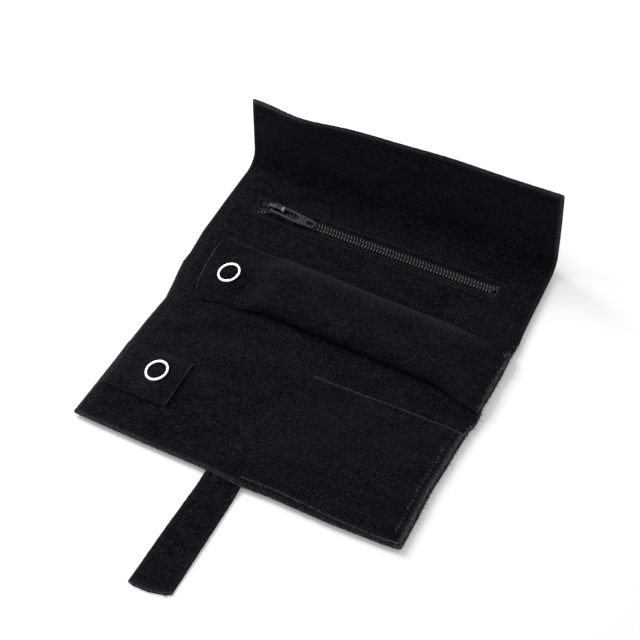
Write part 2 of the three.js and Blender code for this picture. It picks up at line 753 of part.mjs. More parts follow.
// Ring snaps: a pronged ring holds the socket to the cloth above, another holds the stud to the lining.
function ringSnap(name, x, y) {
  const inner = ringRadius - ringBand;
  const shoulder = ringBand / 4;
  const crown = (z0, z1) => [
    [inner, z0],
    [ringRadius, z0],
    [ringRadius, (z0 + z1) / 2],
    [ringRadius - shoulder, z1],
    [inner + shoulder, z1],
    [inner, (z0 + z1) / 2],
  ];
  const at = (body) => body.translate([x, y, 0]);
  const cap = turned(crown(ringLow, ringLow + ringHeight))
    .add(prongs(0, 0, socketHigh - prongReach + clearance, ringLow + ringHeight / 2, prongDiameter / 2));
  add(jewelryRoll, `${name}_cap_ring`, at(cap), nickel());

  const grooveInner = prongCircle - prongHole;
  const grooveOuter = prongCircle + prongHole;
  const hole = studDiameter / 2 + clearance;
  const socket = turned([
    [hole, socketLow],
    [grooveOuter, socketLow],
    [grooveOuter + socketRim, socketLow + socketRim],
    [grooveOuter + socketRim, socketHigh],
    [grooveOuter, socketHigh],
    [grooveOuter, socketHigh - prongReach],
    [grooveInner, socketHigh - prongReach],
    [grooveInner, socketHigh],
    [hole, socketHigh],
  ]);
  add(jewelryRoll, `${name}_socket`, at(socket), nickel());

  const studHigh = studLow + studBase;
  const neck = studDiameter / 2 - clearance;
  const stud = turned([
    [0, studLow],
    [grooveInner, studLow],
    [grooveInner, studLow + prongReach],
    [grooveOuter, studLow + prongReach],
    [grooveOuter, studLow],
    [grooveOuter + socketRim, studLow],
    [grooveOuter + socketRim, studHigh - socketRim / 2],
    [grooveOuter, studHigh],
    [neck, studHigh],
    [neck, studHigh + studPost / 3],
    [studDiameter / 2, studHigh + (2 * studPost) / 3],
    [neck, studHigh + studPost],
    [0, studHigh + studPost],
  ]);
  add(jewelryRoll, `${name}_stud`, at(stud), nickel());

  const backHigh = liningLow - clearance;
  const backLow = backHigh - ringHeight;
  const flipped = crown(backLow, backHigh).map(([r, z]) => [r, backLow + backHigh - z]).reverse();
  const back = turned(flipped)
    .add(prongs(0, 0, backLow + ringHeight / 2, studLow + prongReach - clearance, prongDiameter / 2));
  add(jewelryRoll, `${name}_back_ring`, at(back), nickel());
}
ringSnap("roll_snap", rollSnapX, rollSnapY);
ringSnap("tab_snap", tabSnapX, tabSnapY);

// Closing strap: a folded velvet band, in two lengths that meet at the crease where it turns under.
function strap(name, near, far, tipRadius) {
  const x0 = left + strapLeftInset;
  const plan = roundedPlan(x0, x0 + strapWidth, -far, -near, tipRadius, 0);
  add(jewelryRoll, name, slab(plan, 0, strapThickness), velvet());
}
strap("strap_root", clearance, strapCrease - seam, 0);
strap("strap_tip", strapCrease + seam, strapLength, cornerRadius / 4);

// The origin lies on the table, under the middle of the whole roll.
jewelryRoll.position.y = (strapLength - flapCrease - clearance - inside) / 2;

export default jewelryRoll;
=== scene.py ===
import math

import bpy
import numpy as np
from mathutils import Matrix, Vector


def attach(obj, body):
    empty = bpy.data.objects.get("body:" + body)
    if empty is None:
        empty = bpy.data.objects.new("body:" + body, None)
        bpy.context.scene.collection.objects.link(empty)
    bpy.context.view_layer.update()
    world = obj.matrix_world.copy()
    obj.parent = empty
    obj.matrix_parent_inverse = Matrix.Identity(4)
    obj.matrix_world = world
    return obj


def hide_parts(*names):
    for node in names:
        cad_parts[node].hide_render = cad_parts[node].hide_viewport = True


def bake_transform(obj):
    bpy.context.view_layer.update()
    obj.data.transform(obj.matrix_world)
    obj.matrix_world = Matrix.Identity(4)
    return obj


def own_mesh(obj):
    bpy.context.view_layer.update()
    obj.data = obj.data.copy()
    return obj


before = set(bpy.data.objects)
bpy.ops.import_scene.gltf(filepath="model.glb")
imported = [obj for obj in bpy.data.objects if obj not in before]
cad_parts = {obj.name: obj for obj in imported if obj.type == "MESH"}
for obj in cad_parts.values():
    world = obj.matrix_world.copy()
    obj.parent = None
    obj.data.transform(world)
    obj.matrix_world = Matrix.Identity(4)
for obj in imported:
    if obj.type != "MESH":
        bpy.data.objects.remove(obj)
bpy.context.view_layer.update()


# Velveteen: black cotton pile on a woven ground, for the lining, the cover and everything sewn to them.
# The short pile mottles where it has been brushed, holds lint, and pales where an edge is turned or frayed.
# Some of the paler pile is painted light rather than wear: see the marks on the panel, the roll and the tab.
def add_node(tree, kind, inputs=None, **settings):
    """Adds a node; an input is given a value, or linked when it is given another node's output."""
    made = tree.nodes.new(kind)
    for key, value in settings.items():
        setattr(made, key, value)
    for key, value in (inputs or {}).items():
        if isinstance(value, bpy.types.NodeSocket):
            tree.links.new(value, made.inputs[key])
        else:
            made.inputs[key].default_value = value
    return made


def start_group(name, inputs, outputs):
    """A shader node group with named sockets: (name, kind, default) inputs and (name, kind) outputs."""
    group = bpy.data.node_groups.new(name, "ShaderNodeTree")
    for label, kind, default in inputs:
        socket = group.interface.new_socket(name=label, in_out="INPUT", socket_type="NodeSocket" + kind)
        socket.default_value = default
    for label, kind in outputs:
        group.interface.new_socket(name=label, in_out="OUTPUT", socket_type="NodeSocket" + kind)
    return group, group.nodes.new("NodeGroupInput"), group.nodes.new("NodeGroupOutput")


def millimetres(tree, stretch=(1, 1, 1)):
    """The piece's own coordinates, in millimetres, stretched along its axes."""
    place = add_node(tree, "ShaderNodeTexCoord")
    scale = tuple(1000 * part for part in stretch)
    return add_node(tree, "ShaderNodeVectorMath", {0: place.outputs["Object"], 1: scale},
                    operation="MULTIPLY").outputs[0]


def remap(tree, value, low, high, to_low=0.0, to_high=1.0):
    return add_node(tree, "ShaderNodeMapRange", {
        "Value": value, "From Min": low, "From Max": high, "To Min": to_low, "To Max": to_high,
    }).outputs["Result"]


def mix_colours(tree, share, first, second):
    return add_node(tree, "ShaderNodeMix", {0: share, 6: first, 7: second}, data_type="RGBA").outputs[2]


def combine(tree, operation, first, second):
    return add_node(tree, "ShaderNodeMath", {0: first, 1: second}, operation=operation).outputs[0]


def noise(tree, vector, scale, detail=2.0, roughness=0.5, distortion=0.0):
    return add_node(tree, "ShaderNodeTexNoise", {
        "Vector": vector, "Scale": scale, "Detail": detail, "Roughness": roughness, "Distortion": distortion,
    }).outputs["Fac"]


def make_nap_group():
    group, given, out = start_group(
        "nap",
        [("Dark", "Color", (0.003, 0.003, 0.004, 1)), ("Brushed", "Color", (0.01, 0.01, 0.012, 1)),
         ("Pile Size", "Float", 1.0)],
        [("Colour", "Color"), ("Height", "Float")])
    place = millimetres(group)
    pile = noise(group, place, combine(group, "DIVIDE", 1.15, given.outputs["Pile Size"]), 4.0, 0.75)
    clumps = noise(group, place, 0.42, 3.0, 0.6)
    strokes = noise(group, millimetres(group, (0.05, 0.11, 0.11)), 1.0, distortion=0.8)
    share = combine(group, "ADD", remap(group, pile, 0.44, 0.7, 0.0, 0.85),
                    remap(group, clumps, 0.38, 0.68, 0.0, 0.14))
    share = combine(group, "ADD", share, remap(group, strokes, 0.35, 0.68, -0.05, 0.13))
    group.links.new(mix_colours(group, share, given.outputs["Dark"], given.outputs["Brushed"]),
                    out.inputs["Colour"])
    group.links.new(combine(group, "ADD", pile, combine(group, "MULTIPLY", clumps, 0.6)),
                    out.inputs["Height"])
    return group


def make_lint_group():
    group, given, out = start_group(
        "lint", [("Amount", "Float", 0.35), ("Speck Size", "Float", 0.2)], [("Mask", "Float")])
    cells = add_node(group, "ShaderNodeTexVoronoi", {"Vector": millimetres(group), "Scale": 0.55})
    chosen = add_node(group, "ShaderNodeSeparateColor", {0: cells.outputs["Color"]})
    keep = combine(group, "LESS_THAN", chosen.outputs[0], given.outputs["Amount"])
    size = combine(group, "MULTIPLY", given.outputs["Speck Size"], chosen.outputs[1])
    inside = combine(group, "SUBTRACT", size, cells.outputs["Distance"])
    specks = combine(group, "MULTIPLY", remap(group, inside, -0.015, 0.03), keep)
    turn = add_node(group, "ShaderNodeTexNoise", {"Vector": millimetres(group), "Scale": 0.03})
    bent = add_node(group, "ShaderNodeVectorMath",
                    {0: millimetres(group, (0.13, 0.62, 0.5)), 1: turn.outputs["Color"]}, operation="ADD")
    hairs = add_node(group, "ShaderNodeTexVoronoi", {"Vector": bent.outputs[0], "Scale": 0.9})
    picked = add_node(group, "ShaderNodeSeparateColor", {0: hairs.outputs["Color"]})
    hair_share = combine(group, "MULTIPLY", given.outputs["Amount"], 0.4)
    few = combine(group, "LESS_THAN", picked.outputs[2], hair_share)
    thin = combine(group, "MULTIPLY", remap(group, hairs.outputs["Distance"], 0.1, 0.05), few)
    both = combine(group, "MAXIMUM", specks, combine(group, "MULTIPLY", thin, 0.5))
    group.links.new(both, out.inputs["Mask"])
    return group


nap_group = make_nap_group()
lint_group = make_lint_group()


def start_material(name):
    material = bpy.data.materials.new(name)
    material.use_nodes = True
    tree = material.node_tree
    return material, tree, tree.nodes["Principled BSDF"]


def dress_shader(tree, shader, colour, height, strength, distance, values):
    """Gives a shader its colour, its relief, and the values that are the same all over the surface."""
    tree.links.new(colour, shader.inputs["Base Color"])
    bump = add_node(tree, "ShaderNodeBump", {"Height": height, "Strength": strength, "Distance": distance})
    tree.links.new(bump.outputs["Normal"], shader.inputs["Normal"])
    for key, value in values.items():
        shader.inputs[key].default_value = value


# Pale pile, for frayed and turned edges, and for light and highlights painted on as paler pile.
worn_and_lit_pile, lint_colour = (0.1, 0.1, 0.11, 1), (0.03, 0.031, 0.035, 1)


def velveteen(name, dark, brushed, lint_amount=0.5):
    """Velvet: pile colour from the nap, lint on top, and paler pile where the mesh marks frayed edges and
    painted light.
    """
    material, tree, shader = start_material(name)
    nap = add_node(tree, "ShaderNodeGroup", {"Dark": (*dark, 1), "Brushed": (*brushed, 1)},
                   node_tree=nap_group)
    lint = add_node(tree, "ShaderNodeGroup", {"Amount": lint_amount}, node_tree=lint_group)
    edge = add_node(tree, "ShaderNodeAttribute", attribute_name="wear_and_painted_light")
    tufts = noise(tree, millimetres(tree, (1.3, 0.7, 1.3)), 1.5, 4.0, 0.65)
    wear_and_painted_light = combine(tree, "MULTIPLY", edge.outputs["Fac"], remap(tree, tufts, 0.38, 0.62))
    colour = mix_colours(tree, wear_and_painted_light, nap.outputs["Colour"], worn_and_lit_pile)
    colour = mix_colours(tree, lint.outputs["Mask"], colour, lint_colour)
    dress_shader(tree, shader, colour, nap.outputs["Height"], 0.55, 0.0004, {
        "Roughness": 0.95, "Specular IOR Level": 0.0, "Sheen Weight": 0.06, "Sheen Roughness": 0.5,
        "Sheen Tint": (0.62, 0.68, 0.82, 1)})
    return material


lining_velvet = velveteen("lining_velvet", (0.0012, 0.0014, 0.0019), (0.0149, 0.0171, 0.022))
cover_velvet = velveteen("cover_velvet", (0.0012, 0.0014, 0.0019), (0.0153, 0.0171, 0.0216), 0.4)


# Lining: one cloth across the whole inside, laid over the wadding and turned in at its edges to meet the
# cover. It is cut here into five lengths, which meet end to end; the topstitch pulls its edges down.
mm = 0.001
panel_foot = -53.1
crease_start = 156.3
crease_arc = 9.4
crease_centre = 9.9
flap_foot = 4.2
flap_left_height = 37.0
flap_right_height = 45.4
flap_lean = 3.0
flap_wave = 3.0
half_panel = 74.0
lower_crease, middle_line, upper_crease, flap_seam = 66, 90.5, 114.5, 150

left_edge_at = [(-5, -74.3), (3, -73.9), (22, -73.1), (44, -72.2), (58, -71.6), (66, -71.0), (73, -70.5),
                (82, -71.8), (89, -73.1), (95, -74.0), (101, -73.7), (115, -74.8), (140, -74.8),
                (158, -74.6), (166, -74.2), (190, -74.2), (215, -73.7)]
right_edge_at = [(-5, 74.4), (15, 74.2), (29, 73.8), (43, 74.5), (53, 74.8), (63, 75.3), (68.5, 76.5),
                 (72.5, 76.5), (77, 75.5), (85, 76.0), (96, 76.1), (107, 75.7), (116, 76.0), (121, 75.5),
                 (134, 74.9), (147, 74.5), (157, 74.1), (165, 73.9), (215, 74.0)]
bottom_edge_at = [(-76, 2.1), (-64, 1.5), (-40, 0.8), (-12, 0.3), (5, -0.9), (18, -0.5), (44, -1.3),
                  (65, -0.9), (72, -0.3), (77, 0.6)]
ring_steps = [0, 0.12, 0.24, 0.38, 0.55, 0.8, 1.15, 1.65, 2.2, 2.65, 3.0, 3.35, 3.8, 4.6, 5.6, 7.0]
corner_round = 0.8
seam_inset = 3.0
inner_columns = ([-61.5, -60.2, -59.3, -58.7, -58.3, -57.9, -57.2] + list(np.linspace(-55.9, 54.6, 60))
                 + [55.5, 56.2, 56.7, 57.2, 57.9, 59.2, 60.6, 62])


def along(points, value):
    """Reads a line given as (place, value) pairs."""
    return float(np.interp(value, [p[0] for p in points], [p[1] for p in points]))


def ease(value, low, high):
    """Rises smoothly from 0 at low to 1 at high."""
    share = min(max((value - low) / (high - low), 0), 1)
    return share * share * (3 - 2 * share)


def dip(value, centre, width):
    return math.exp(-((value - centre) / width) ** 2)


def flap_height(x):
    """How high the flap's top edge stands above its foot: it rises to the right, and waves."""
    across = (x + half_panel) / (2 * half_panel)
    straight = flap_left_height + (flap_right_height - flap_left_height) * across
    return straight + 0.3 + 0.6 * dip(x, -64, 10) + 1.0 * dip(x, 22, 20)


def flap_top(x):
    """Where the flap's top edge lies along the flat cloth."""
    return crease_start + crease_arc + flap_foot + flap_height(x) - crease_centre


def lay(x, s, h):
    """A point of flat cloth, s along it and h above the table, laid on the panel and up the flap."""
    reach = crease_centre - h
    turn = min(max((s - crease_start) / crease_arc, 0), 1) * math.pi / 2
    y = min(s, crease_start) + reach * math.sin(turn)
    z = crease_centre - reach * math.cos(turn) + max(s - crease_start - crease_arc, 0)
    if s <= crease_start:
        return x, y, z
    share = max(z - flap_foot, 0) / flap_height(x)
    across = (x + half_panel) / (2 * half_panel)
    wave = dip(x, -49, 18)
    return x, y - share * share * (flap_lean * across + flap_wave * wave), z


def soft_waves(x, s):
    return (0.11 * math.sin(0.071 * x + 0.043 * s + 0.6) + 0.09 * math.sin(0.087 * s - 0.113 * x + 2.1)
            + 0.07 * math.sin(0.19 * x + 0.15 * s + 4.0) + 0.05 * math.sin(0.31 * x - 0.22 * s + 1.3))


def ragged(place, seed, size):
    """How far a raw edge wanders in and out."""
    return size * (0.5 * math.sin(1.9 * place + seed) + 0.3 * math.sin(4.3 * place + 2.1 * seed)
                   + 0.2 * math.sin(8.7 * place + 3.7 * seed))


def fraying(x, s):
    """How frayed an edge is: most where the ring roll's raw end is caught in the right seam."""
    right_seam = ease(x, 60, 70) * (0.5 + 0.5 * ease(s, 20, 62)) * (1 - ease(s, 108, 116))
    foot = 0.45 * (1 - ease(s, 2, 6)) + 0.4 * (1 - ease(x, -72, -50)) * (1 - ease(s, 4, 16))
    return min(1, 0.28 + foot + 0.6 * right_seam)


def paleness(x, s):
    """How pale the pile is along a turned edge: palest at the flap's corners and along the foot."""
    top = ease(s, 186, 194) * (0.35 + 0.6 * (1 - ease(x, -60, -40)) + 0.1 * ease(x, 10, 40))
    flap_side = 0.8 * ease(s, 160, 172) * ease(x, 60, 72)
    foot = (1 - ease(s, 4, 9)) * (0.25 + 0.35 * (1 - ease(x, -5, 10)))
    left = (1 - ease(x, -72, -60)) * (0.6 - 0.4 * ease(s, 60, 100))
    right = 0.3 * ease(x, 60, 72) * ease(s, 116, 124)
    return max(top, flap_side, foot, left, right)


def strip_point(column, row, rolled, relief, seed, wear_and_painted_light):
    """One grid point: rolled lists the (inset, height) of the rings in from a turned edge."""
    rings = len(rolled)
    side, across = column
    kind, value = row
    ring_end = value if kind in ("foot", "top") else rings
    ring = min(across if side else rings, ring_end)
    nominal = side * (half_panel - ring_steps[across]) if side else across
    slip = rolled[ring][0] - ring_steps[ring] if ring < rings else 0
    end_inset = ring_steps[value] + slip if ring_end < rings else 0
    if kind == "foot":
        s = along(bottom_edge_at, nominal) + end_inset
    elif kind == "top":
        s = flap_top(nominal) - end_inset
    elif kind == "flap":
        low = crease_start + crease_arc + 2
        s = low + value * (flap_top(nominal) - ring_steps[-1] - low)
    else:
        s = value
    if side:
        side_inset = ring_steps[across] + slip
        if ring_end < rings and side_inset < corner_round and end_inset < corner_round:
            a, b = corner_round - side_inset, corner_round - end_inset
            reach, lean = max(a, b), math.pi / 4 * min(a, b) / max(a, b)
            turned = (reach * math.cos(lean), reach * math.sin(lean))
            a2, b2 = turned if a >= b else turned[::-1]
            side_inset += a - a2
            s += (b - b2) * (1 if kind == "foot" else -1)
        edge = along(left_edge_at if side < 0 else right_edge_at, s)
        frayed = fraying(edge, s)
        loose = max(0, 1 - across / 8) * ragged(s, seed, 0.32 * frayed)
        x = edge - side * (side_inset - loose)
    else:
        x = across
        frayed = fraying(x, s)
    if ring_end < rings:
        s += max(0, 1 - value / 8) * ragged(x, seed + 1, 0.25) * (1 if kind == "top" else -1)
    inset, height = rolled[min(ring, rings - 1)]
    fade = min(ring / (rings - 1), 1) ** 2
    rim = frayed * max(0.0, 1 - ring / 5) + paleness(x, s) * (1 - ease(inset, 0.3, 1.6))
    # Painted light: a paler band along the panel's left side, strongest at the front, stands in for the
    # light falling there.
    margin = (0.2 - 0.09 * ease(s, 90, 125)) * (1 - ease(x - along(left_edge_at, s), 0, 9))
    pale = rim + margin * (1 - ease(s, flap_seam, 166))
    return (*lay(x, s, height + fade * relief(x, s)), min(1, wear_and_painted_light * pale))


lining_rolled = [(0.5, 2.62), (0.15, 2.66), (0.0, 2.8), (0.02, 3.02), (0.2, 3.26), (0.5, 3.42), (0.9, 3.52),
                 (1.4, 3.58), (2.0, 3.58), (2.6, 3.54), (3.0, 3.5), (3.4, 3.54), (3.9, 3.62), (4.7, 3.72),
                 (5.7, 3.78), (7.0, 3.8)]
window_left, window_right, window_low, window_high = -58.3, 56.7, 135.1, 141.5
window_seam = 2.2
cloth_thick, lining_top = 0.5, 3.8


def from_window(x, s):
    """How far a point of the lining lies from the zip's window."""
    return math.hypot(max(window_left - x, x - window_right, 0), max(window_low - s, s - window_high, 0))


def lining_relief(x, s):
    sink = 0.35 * dip(s, lower_crease, 3.4) + 0.3 * dip(s, upper_crease, 3.2)
    gap = from_window(x, s)
    sink += 0.75 * math.exp(-gap / 0.4) + 0.15 * dip(gap, window_seam, 0.5)
    return soft_waves(x, s) - sink


def columns_for(rolled, middle):
    rings = range(len(rolled))
    return [(-1, k) for k in rings] + [(0, float(x)) for x in middle] + [(1, k) for k in reversed(rings)]


def spread(low, high, step):
    count = max(1, round((high - low) / step))
    return [("along", float(v)) for v in np.linspace(low, high, count + 1)]


foot_rows = [("foot", k) for k in range(len(ring_steps))]
window_rows = [("along", s) for s in (132.3, 132.9, 133.4, 133.9, 134.5, 134.85, 135.1, 136.7, 138.3, 139.9,
                                      141.5, 141.75, 142.1, 142.7, 143.2, 143.7, 144.3)]
flap_rows = ([("flap", float(v)) for v in np.linspace(0, 1, 20)]
             + [("top", k) for k in reversed(range(len(ring_steps) - 1))])
strips = {
    "lower": (foot_rows + spread(8.8, lower_crease, 1.9), "lower", "lower_spine", 49, lower_crease),
    "lower_fold": (spread(lower_crease, middle_line, 1.8), "lower_spine", "middle", lower_crease, 83),
    "upper_fold": (spread(middle_line, upper_crease, 1.5), "middle", "upper_spine", 108, upper_crease),
    "upper": (spread(upper_crease, 131.5, 1.6) + window_rows + spread(145.5, flap_seam, 1.5),
              "upper_spine", "upper", upper_crease, 129.5),
    "flap": (spread(flap_seam, crease_start, 1.3)[:-1]
             + spread(crease_start, crease_start + crease_arc, 0.65) + [("along", 166.7)] + flap_rows,
             "upper", "flap", None, None),
}


def grid_faces(rows, columns, keep=None):
    return [(r * columns + c, r * columns + c + 1, (r + 1) * columns + c + 1, (r + 1) * columns + c)
            for r in range(rows - 1) for c in range(columns - 1) if keep is None or keep(r, c)]


def placed(point):
    """A point in millimetres from the middle of the panel's foot, put in the frame's metres."""
    return point[0] * mm, (point[1] + panel_foot) * mm, point[2] * mm


def make_piece(name, points, faces, material):
    """A smooth mesh; where its points have a fourth number, it gives their wear and their painted light."""
    mesh = bpy.data.meshes.new(name)
    mesh.from_pydata([placed(p) for p in points], [], faces)
    mesh.materials.append(material)
    mesh.polygons.foreach_set("use_smooth", [True] * len(mesh.polygons))
    if len(points[0]) > 3:
        mesh.attributes.new("wear_and_painted_light", "FLOAT", "POINT").data.foreach_set("value", [p[3] for p in points])
    mesh.update()
    piece = bpy.data.objects.new(name, mesh)
    bpy.context.collection.objects.link(piece)
    return piece


def settle(piece, sharp=None):
    """Takes the piece's modifiers into its mesh."""
    bpy.context.view_layer.update()
    made = piece.evaluated_get(bpy.context.evaluated_depsgraph_get())
    mesh = bpy.data.meshes.new_from_object(made)
    mesh.name = piece.name
    piece.modifiers.clear()
    piece.data = mesh
    if sharp:
        mesh.set_sharp_from_angle(angle=math.radians(sharp))
    return piece


def thicken(piece, thickness):
    """Gives a cloth its own thickness, on the side away from its face."""
    ply = piece.modifiers.new("ply", "SOLIDIFY")
    ply.thickness = thickness * mm
    ply.offset = -1
    return settle(piece, 60)


def bend_across(piece, strip):
    """Takes the piece's placement into its mesh; the crease ends that it works out for the strip are not
    used.
    """
    first, second, start, end = strips[strip][1:]
    if strip == "flap":
        low, high = (0, 155.5, 3.9), (0, 162.5, 12.5)
    else:
        low, high = (0, start, 0), (0, end, 0)
    placed(low)
    placed(high)
    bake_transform(piece)


def cloth_strip(name, strip, rolled, relief, material, seed, wear_and_painted_light, face_down=False, window=False):
    rows = strips[strip][0]
    columns = columns_for(rolled, inner_columns)
    grid = [[strip_point(column, row, rolled, relief, seed, wear_and_painted_light) for column in columns] for row in rows]
    points = [p for line in grid for p in line]

    def keep(r, c):
        low, high = grid[r][c], grid[r + 1][c + 1]
        x, y = (low[0] + high[0]) / 2, (low[1] + high[1]) / 2
        return not (window_left < x < window_right and window_low < y < window_high)

    faces = grid_faces(len(rows), len(columns), keep if window else None)
    if face_down:
        faces = [face[::-1] for face in faces]
    return thicken(make_piece(name, points, faces, material), cloth_thick)


lining_nodes = {"lower": ["lining_lower"], "lower_fold": ["lining_lower_spine", "lining_middle"],
                "upper_fold": ["lining_upper_spine"], "upper": ["lining_upper"], "flap": ["lining_flap"]}
lining = {}
for strip in strips:
    lining[strip] = cloth_strip("lining_cloth_" + strip, strip, lining_rolled, lining_relief, lining_velvet,
                                seed=1.0, wear_and_painted_light=0.6, window=strip == "upper")
    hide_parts(*lining_nodes[strip])
    bend_across(lining[strip], strip)


# Outer cover: the same velveteen under everything, face down on the table and up the back of the flap.
# Its turned edge shows below the lining's, a little proud of it, because the cover is cut a little larger.
cover_rolled = [(0.3, 2.52), (-0.15, 2.48), (-0.42, 2.36), (-0.52, 2.18), (-0.42, 2.0), (-0.15, 1.88),
                (0.3, 1.82), (1.0, 1.76), (1.7, 1.68), (2.5, 1.54), (3.0, 1.44), (3.4, 1.34), (3.9, 1.18),
                (4.7, 0.86), (5.7, 0.42), (7.0, 0.0)]


def cover_relief(x, s):
    lift = 0.1 + 0.5 * abs(soft_waves(x, s))
    return lift + 0.25 * dip(s, lower_crease, 4) + 0.25 * dip(s, upper_crease, 4)


cover_nodes = {"lower": ["outer_cover_lower"],
               "lower_fold": ["outer_cover_lower_spine", "outer_cover_middle"],
               "upper_fold": ["outer_cover_upper_spine"], "upper": ["outer_cover_upper"],
               "flap": ["outer_cover_flap"]}
cover = {}
for strip in strips:
    cover[strip] = cloth_strip("cover_cloth_" + strip, strip, cover_rolled, cover_relief, cover_velvet,
                               seed=2.6, wear_and_painted_light=1.0, face_down=True)
    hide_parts(*cover_nodes[strip])
    bend_across(cover[strip], strip)


# Wadding: a thin white polyester batt between cover and lining, cut short of the seams and of the creases.
# There is none behind the zip, where the pocket bag takes its place.
def fluff(name, colour):
    material, tree, shader = start_material(name)
    strands = noise(tree, millimetres(tree, (0.4, 1, 1)), 1.1, 5.0, distortion=1.5)
    shade = mix_colours(tree, strands, (*[0.8 * c for c in colour], 1), (*colour, 1))
    dress_shader(tree, shader, shade, strands, 0.5, 0.0005, {"Roughness": 1.0})
    return material


batt = fluff("batt", (0.74, 0.73, 0.69))
batt_low, batt_high, batt_inset = 1.0, 2.9, 6.0


def batt_sheet(name, strip, low_s, high_s, node):
    """A puffed sheet from low_s to high_s along the cloth, or up to just inside the flap's top edge."""
    columns, rows = 41, 21
    xs = np.linspace(-half_panel + batt_inset, half_panel - batt_inset, columns)
    top, bottom = [], []
    for part in np.linspace(0, 1, rows):
        for x in xs:
            high = high_s if high_s is not None else flap_top(x) - batt_inset
            s = low_s + part * (high - low_s)
            edge = min(x - xs[0], xs[-1] - x, 8 * min(part, 1 - part))
            puff = 0.6 * math.exp(-edge / 0.8)
            top.append(lay(x, s, batt_high - puff))
            bottom.append(lay(x, s, batt_low + puff * 0.5))
    size, last = len(top), columns - 1
    faces = grid_faces(rows, columns)
    rim = ([r * columns for r in range(rows)] + [(rows - 1) * columns + c for c in range(1, columns)]
           + [r * columns + last for r in reversed(range(rows - 1))] + list(reversed(range(1, last))))
    faces += [tuple(k + size for k in face[::-1]) for face in faces]
    faces += [(a, b, b + size, a + size) for a, b in zip(rim, rim[1:] + rim[:1])]
    piece = make_piece(name, top + bottom, faces, batt)
    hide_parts(node)
    bend_across(piece, strip)


batt_sheet("batt_lower", "lower", 6, 60.5, "wadding_lower")
batt_sheet("batt_middle_near", "lower_fold", 71.5, 90.4, "wadding_middle")
batt_sheet("batt_middle_far", "upper_fold", 90.6, 109.5, "wadding_middle")
batt_sheet("batt_flap", "flap", 167.5, None, "wadding_flap")


# Topstitch: black polyester thread, three millimetres inside every edge, through lining, wadding and cover.
# Each stitch lies in the dip that it pulls, on both faces; the rows part where two lengths of cloth meet.
def thread_material(name, dark, light):
    material, tree, shader = start_material(name)
    strands = {"Vector": millimetres(tree, (1, 1, 0.4)), "Scale": 1.6, "Distortion": 1.0}
    twist = add_node(tree, "ShaderNodeTexWave", strands, bands_direction="DIAGONAL").outputs["Fac"]
    colour = mix_colours(tree, twist, (*dark, 1), (*light, 1))
    dress_shader(tree, shader, colour, twist, 0.4, 0.00005, {"Roughness": 0.7, "Specular IOR Level": 0.12})
    return material


thread = thread_material("thread", (0.002, 0.002, 0.0026), (0.008, 0.008, 0.0095))
worn_thread = thread_material("worn_thread", (0.014, 0.014, 0.016), (0.045, 0.045, 0.05))
stitch_length, stitch_gap, thread_radius = 2.5, 0.55, 0.14


def tube(path, radii, sides=6):
    """Points and faces of a tube along a path, closed at both ends."""
    path = [Vector(p) for p in path]
    points, faces = [], []
    for k, (centre, radius) in enumerate(zip(path, radii)):
        heading = (path[min(k + 1, len(path) - 1)] - path[max(k - 1, 0)]).normalized()
        side = heading.cross(Vector((0.13, 0.21, 0.97)))
        side = side.normalized() if side.length > 1e-6 else Vector((1, 0, 0))
        up = side.cross(heading)
        for j in range(sides):
            angle = 2 * math.pi * j / sides
            points.append(tuple(centre + radius * (math.cos(angle) * side + math.sin(angle) * up)))
    for k in range(len(path) - 1):
        for j in range(sides):
            a, b = k * sides + j, k * sides + (j + 1) % sides
            faces.append((a, b, b + sides, a + sides))
    faces.append(tuple(reversed(range(sides))))
    faces.append(tuple(range(len(points) - sides, len(points))))
    return points, faces


def join(parts, low=-math.inf, high=math.inf):
    """One mesh of the parts that start between low and high, given as (start, (points, faces))."""
    points, faces = [], []
    for start, (more_points, more_faces) in parts:
        if low <= start < high:
            first = len(points)
            points += more_points
            faces += [tuple(k + first for k in face) for face in more_faces]
    return points, faces


def stitches(surface, low, high, length=stitch_length, gap=stitch_gap, radius=thread_radius):
    """Stitches along surface(u, lift), from low to high, each arching out of the cloth and back in."""
    count = max(1, int((high - low + gap) / (length + gap)))
    pitch = (high - low + gap) / count
    lifts = (-0.2, 0.02, 0.1, 0.02, -0.2)
    parts = []
    for k in range(count):
        start = low + k * pitch
        path = [surface(start + (pitch - gap) * j / 4, lifts[j]) for j in range(5)]
        parts.append((start, tube(path, [0.5 * radius, radius, 1.05 * radius, radius, 0.5 * radius])))
    return parts


def edge_surface(side, height, outward):
    edge = left_edge_at if side < 0 else right_edge_at
    return lambda s, lift: lay(along(edge, s) - side * seam_inset, s, height + outward * lift)


strip_spans = {"lower": (-9, lower_crease), "lower_fold": (lower_crease, middle_line),
               "upper_fold": (middle_line, upper_crease), "upper": (upper_crease, flap_seam),
               "flap": (flap_seam, math.inf)}
row_end = half_panel - 3.5
for cloth, height, outward in (("lining", 3.49, 1), ("cover", 1.46, -1)):
    rows = []
    for side in (-1, 1):
        top = flap_top(side * (half_panel - seam_inset)) - seam_inset
        rows += stitches(edge_surface(side, height, outward), seam_inset, top)
    rows += [(0, part) for _, part in stitches(
        lambda x, lift: lay(x, along(bottom_edge_at, x) + seam_inset, height + outward * lift),
        -row_end, row_end)]
    rows += [(flap_seam, part) for _, part in stitches(
        lambda x, lift: lay(x, flap_top(x) - seam_inset, height + outward * lift), -row_end, row_end)]
    for strip, span in strip_spans.items():
        piece = make_piece(f"{cloth}_topstitch_{strip}", *join(rows, *span), thread)
        bend_across(piece, strip)


# Zip: two woven tapes, each with a nylon coil sewn along its inner edge, behind a stitched window in the
# lining, and a woven bag behind them. The coils mesh from the slider to the right and stand apart behind it.
zip_y = 138.3


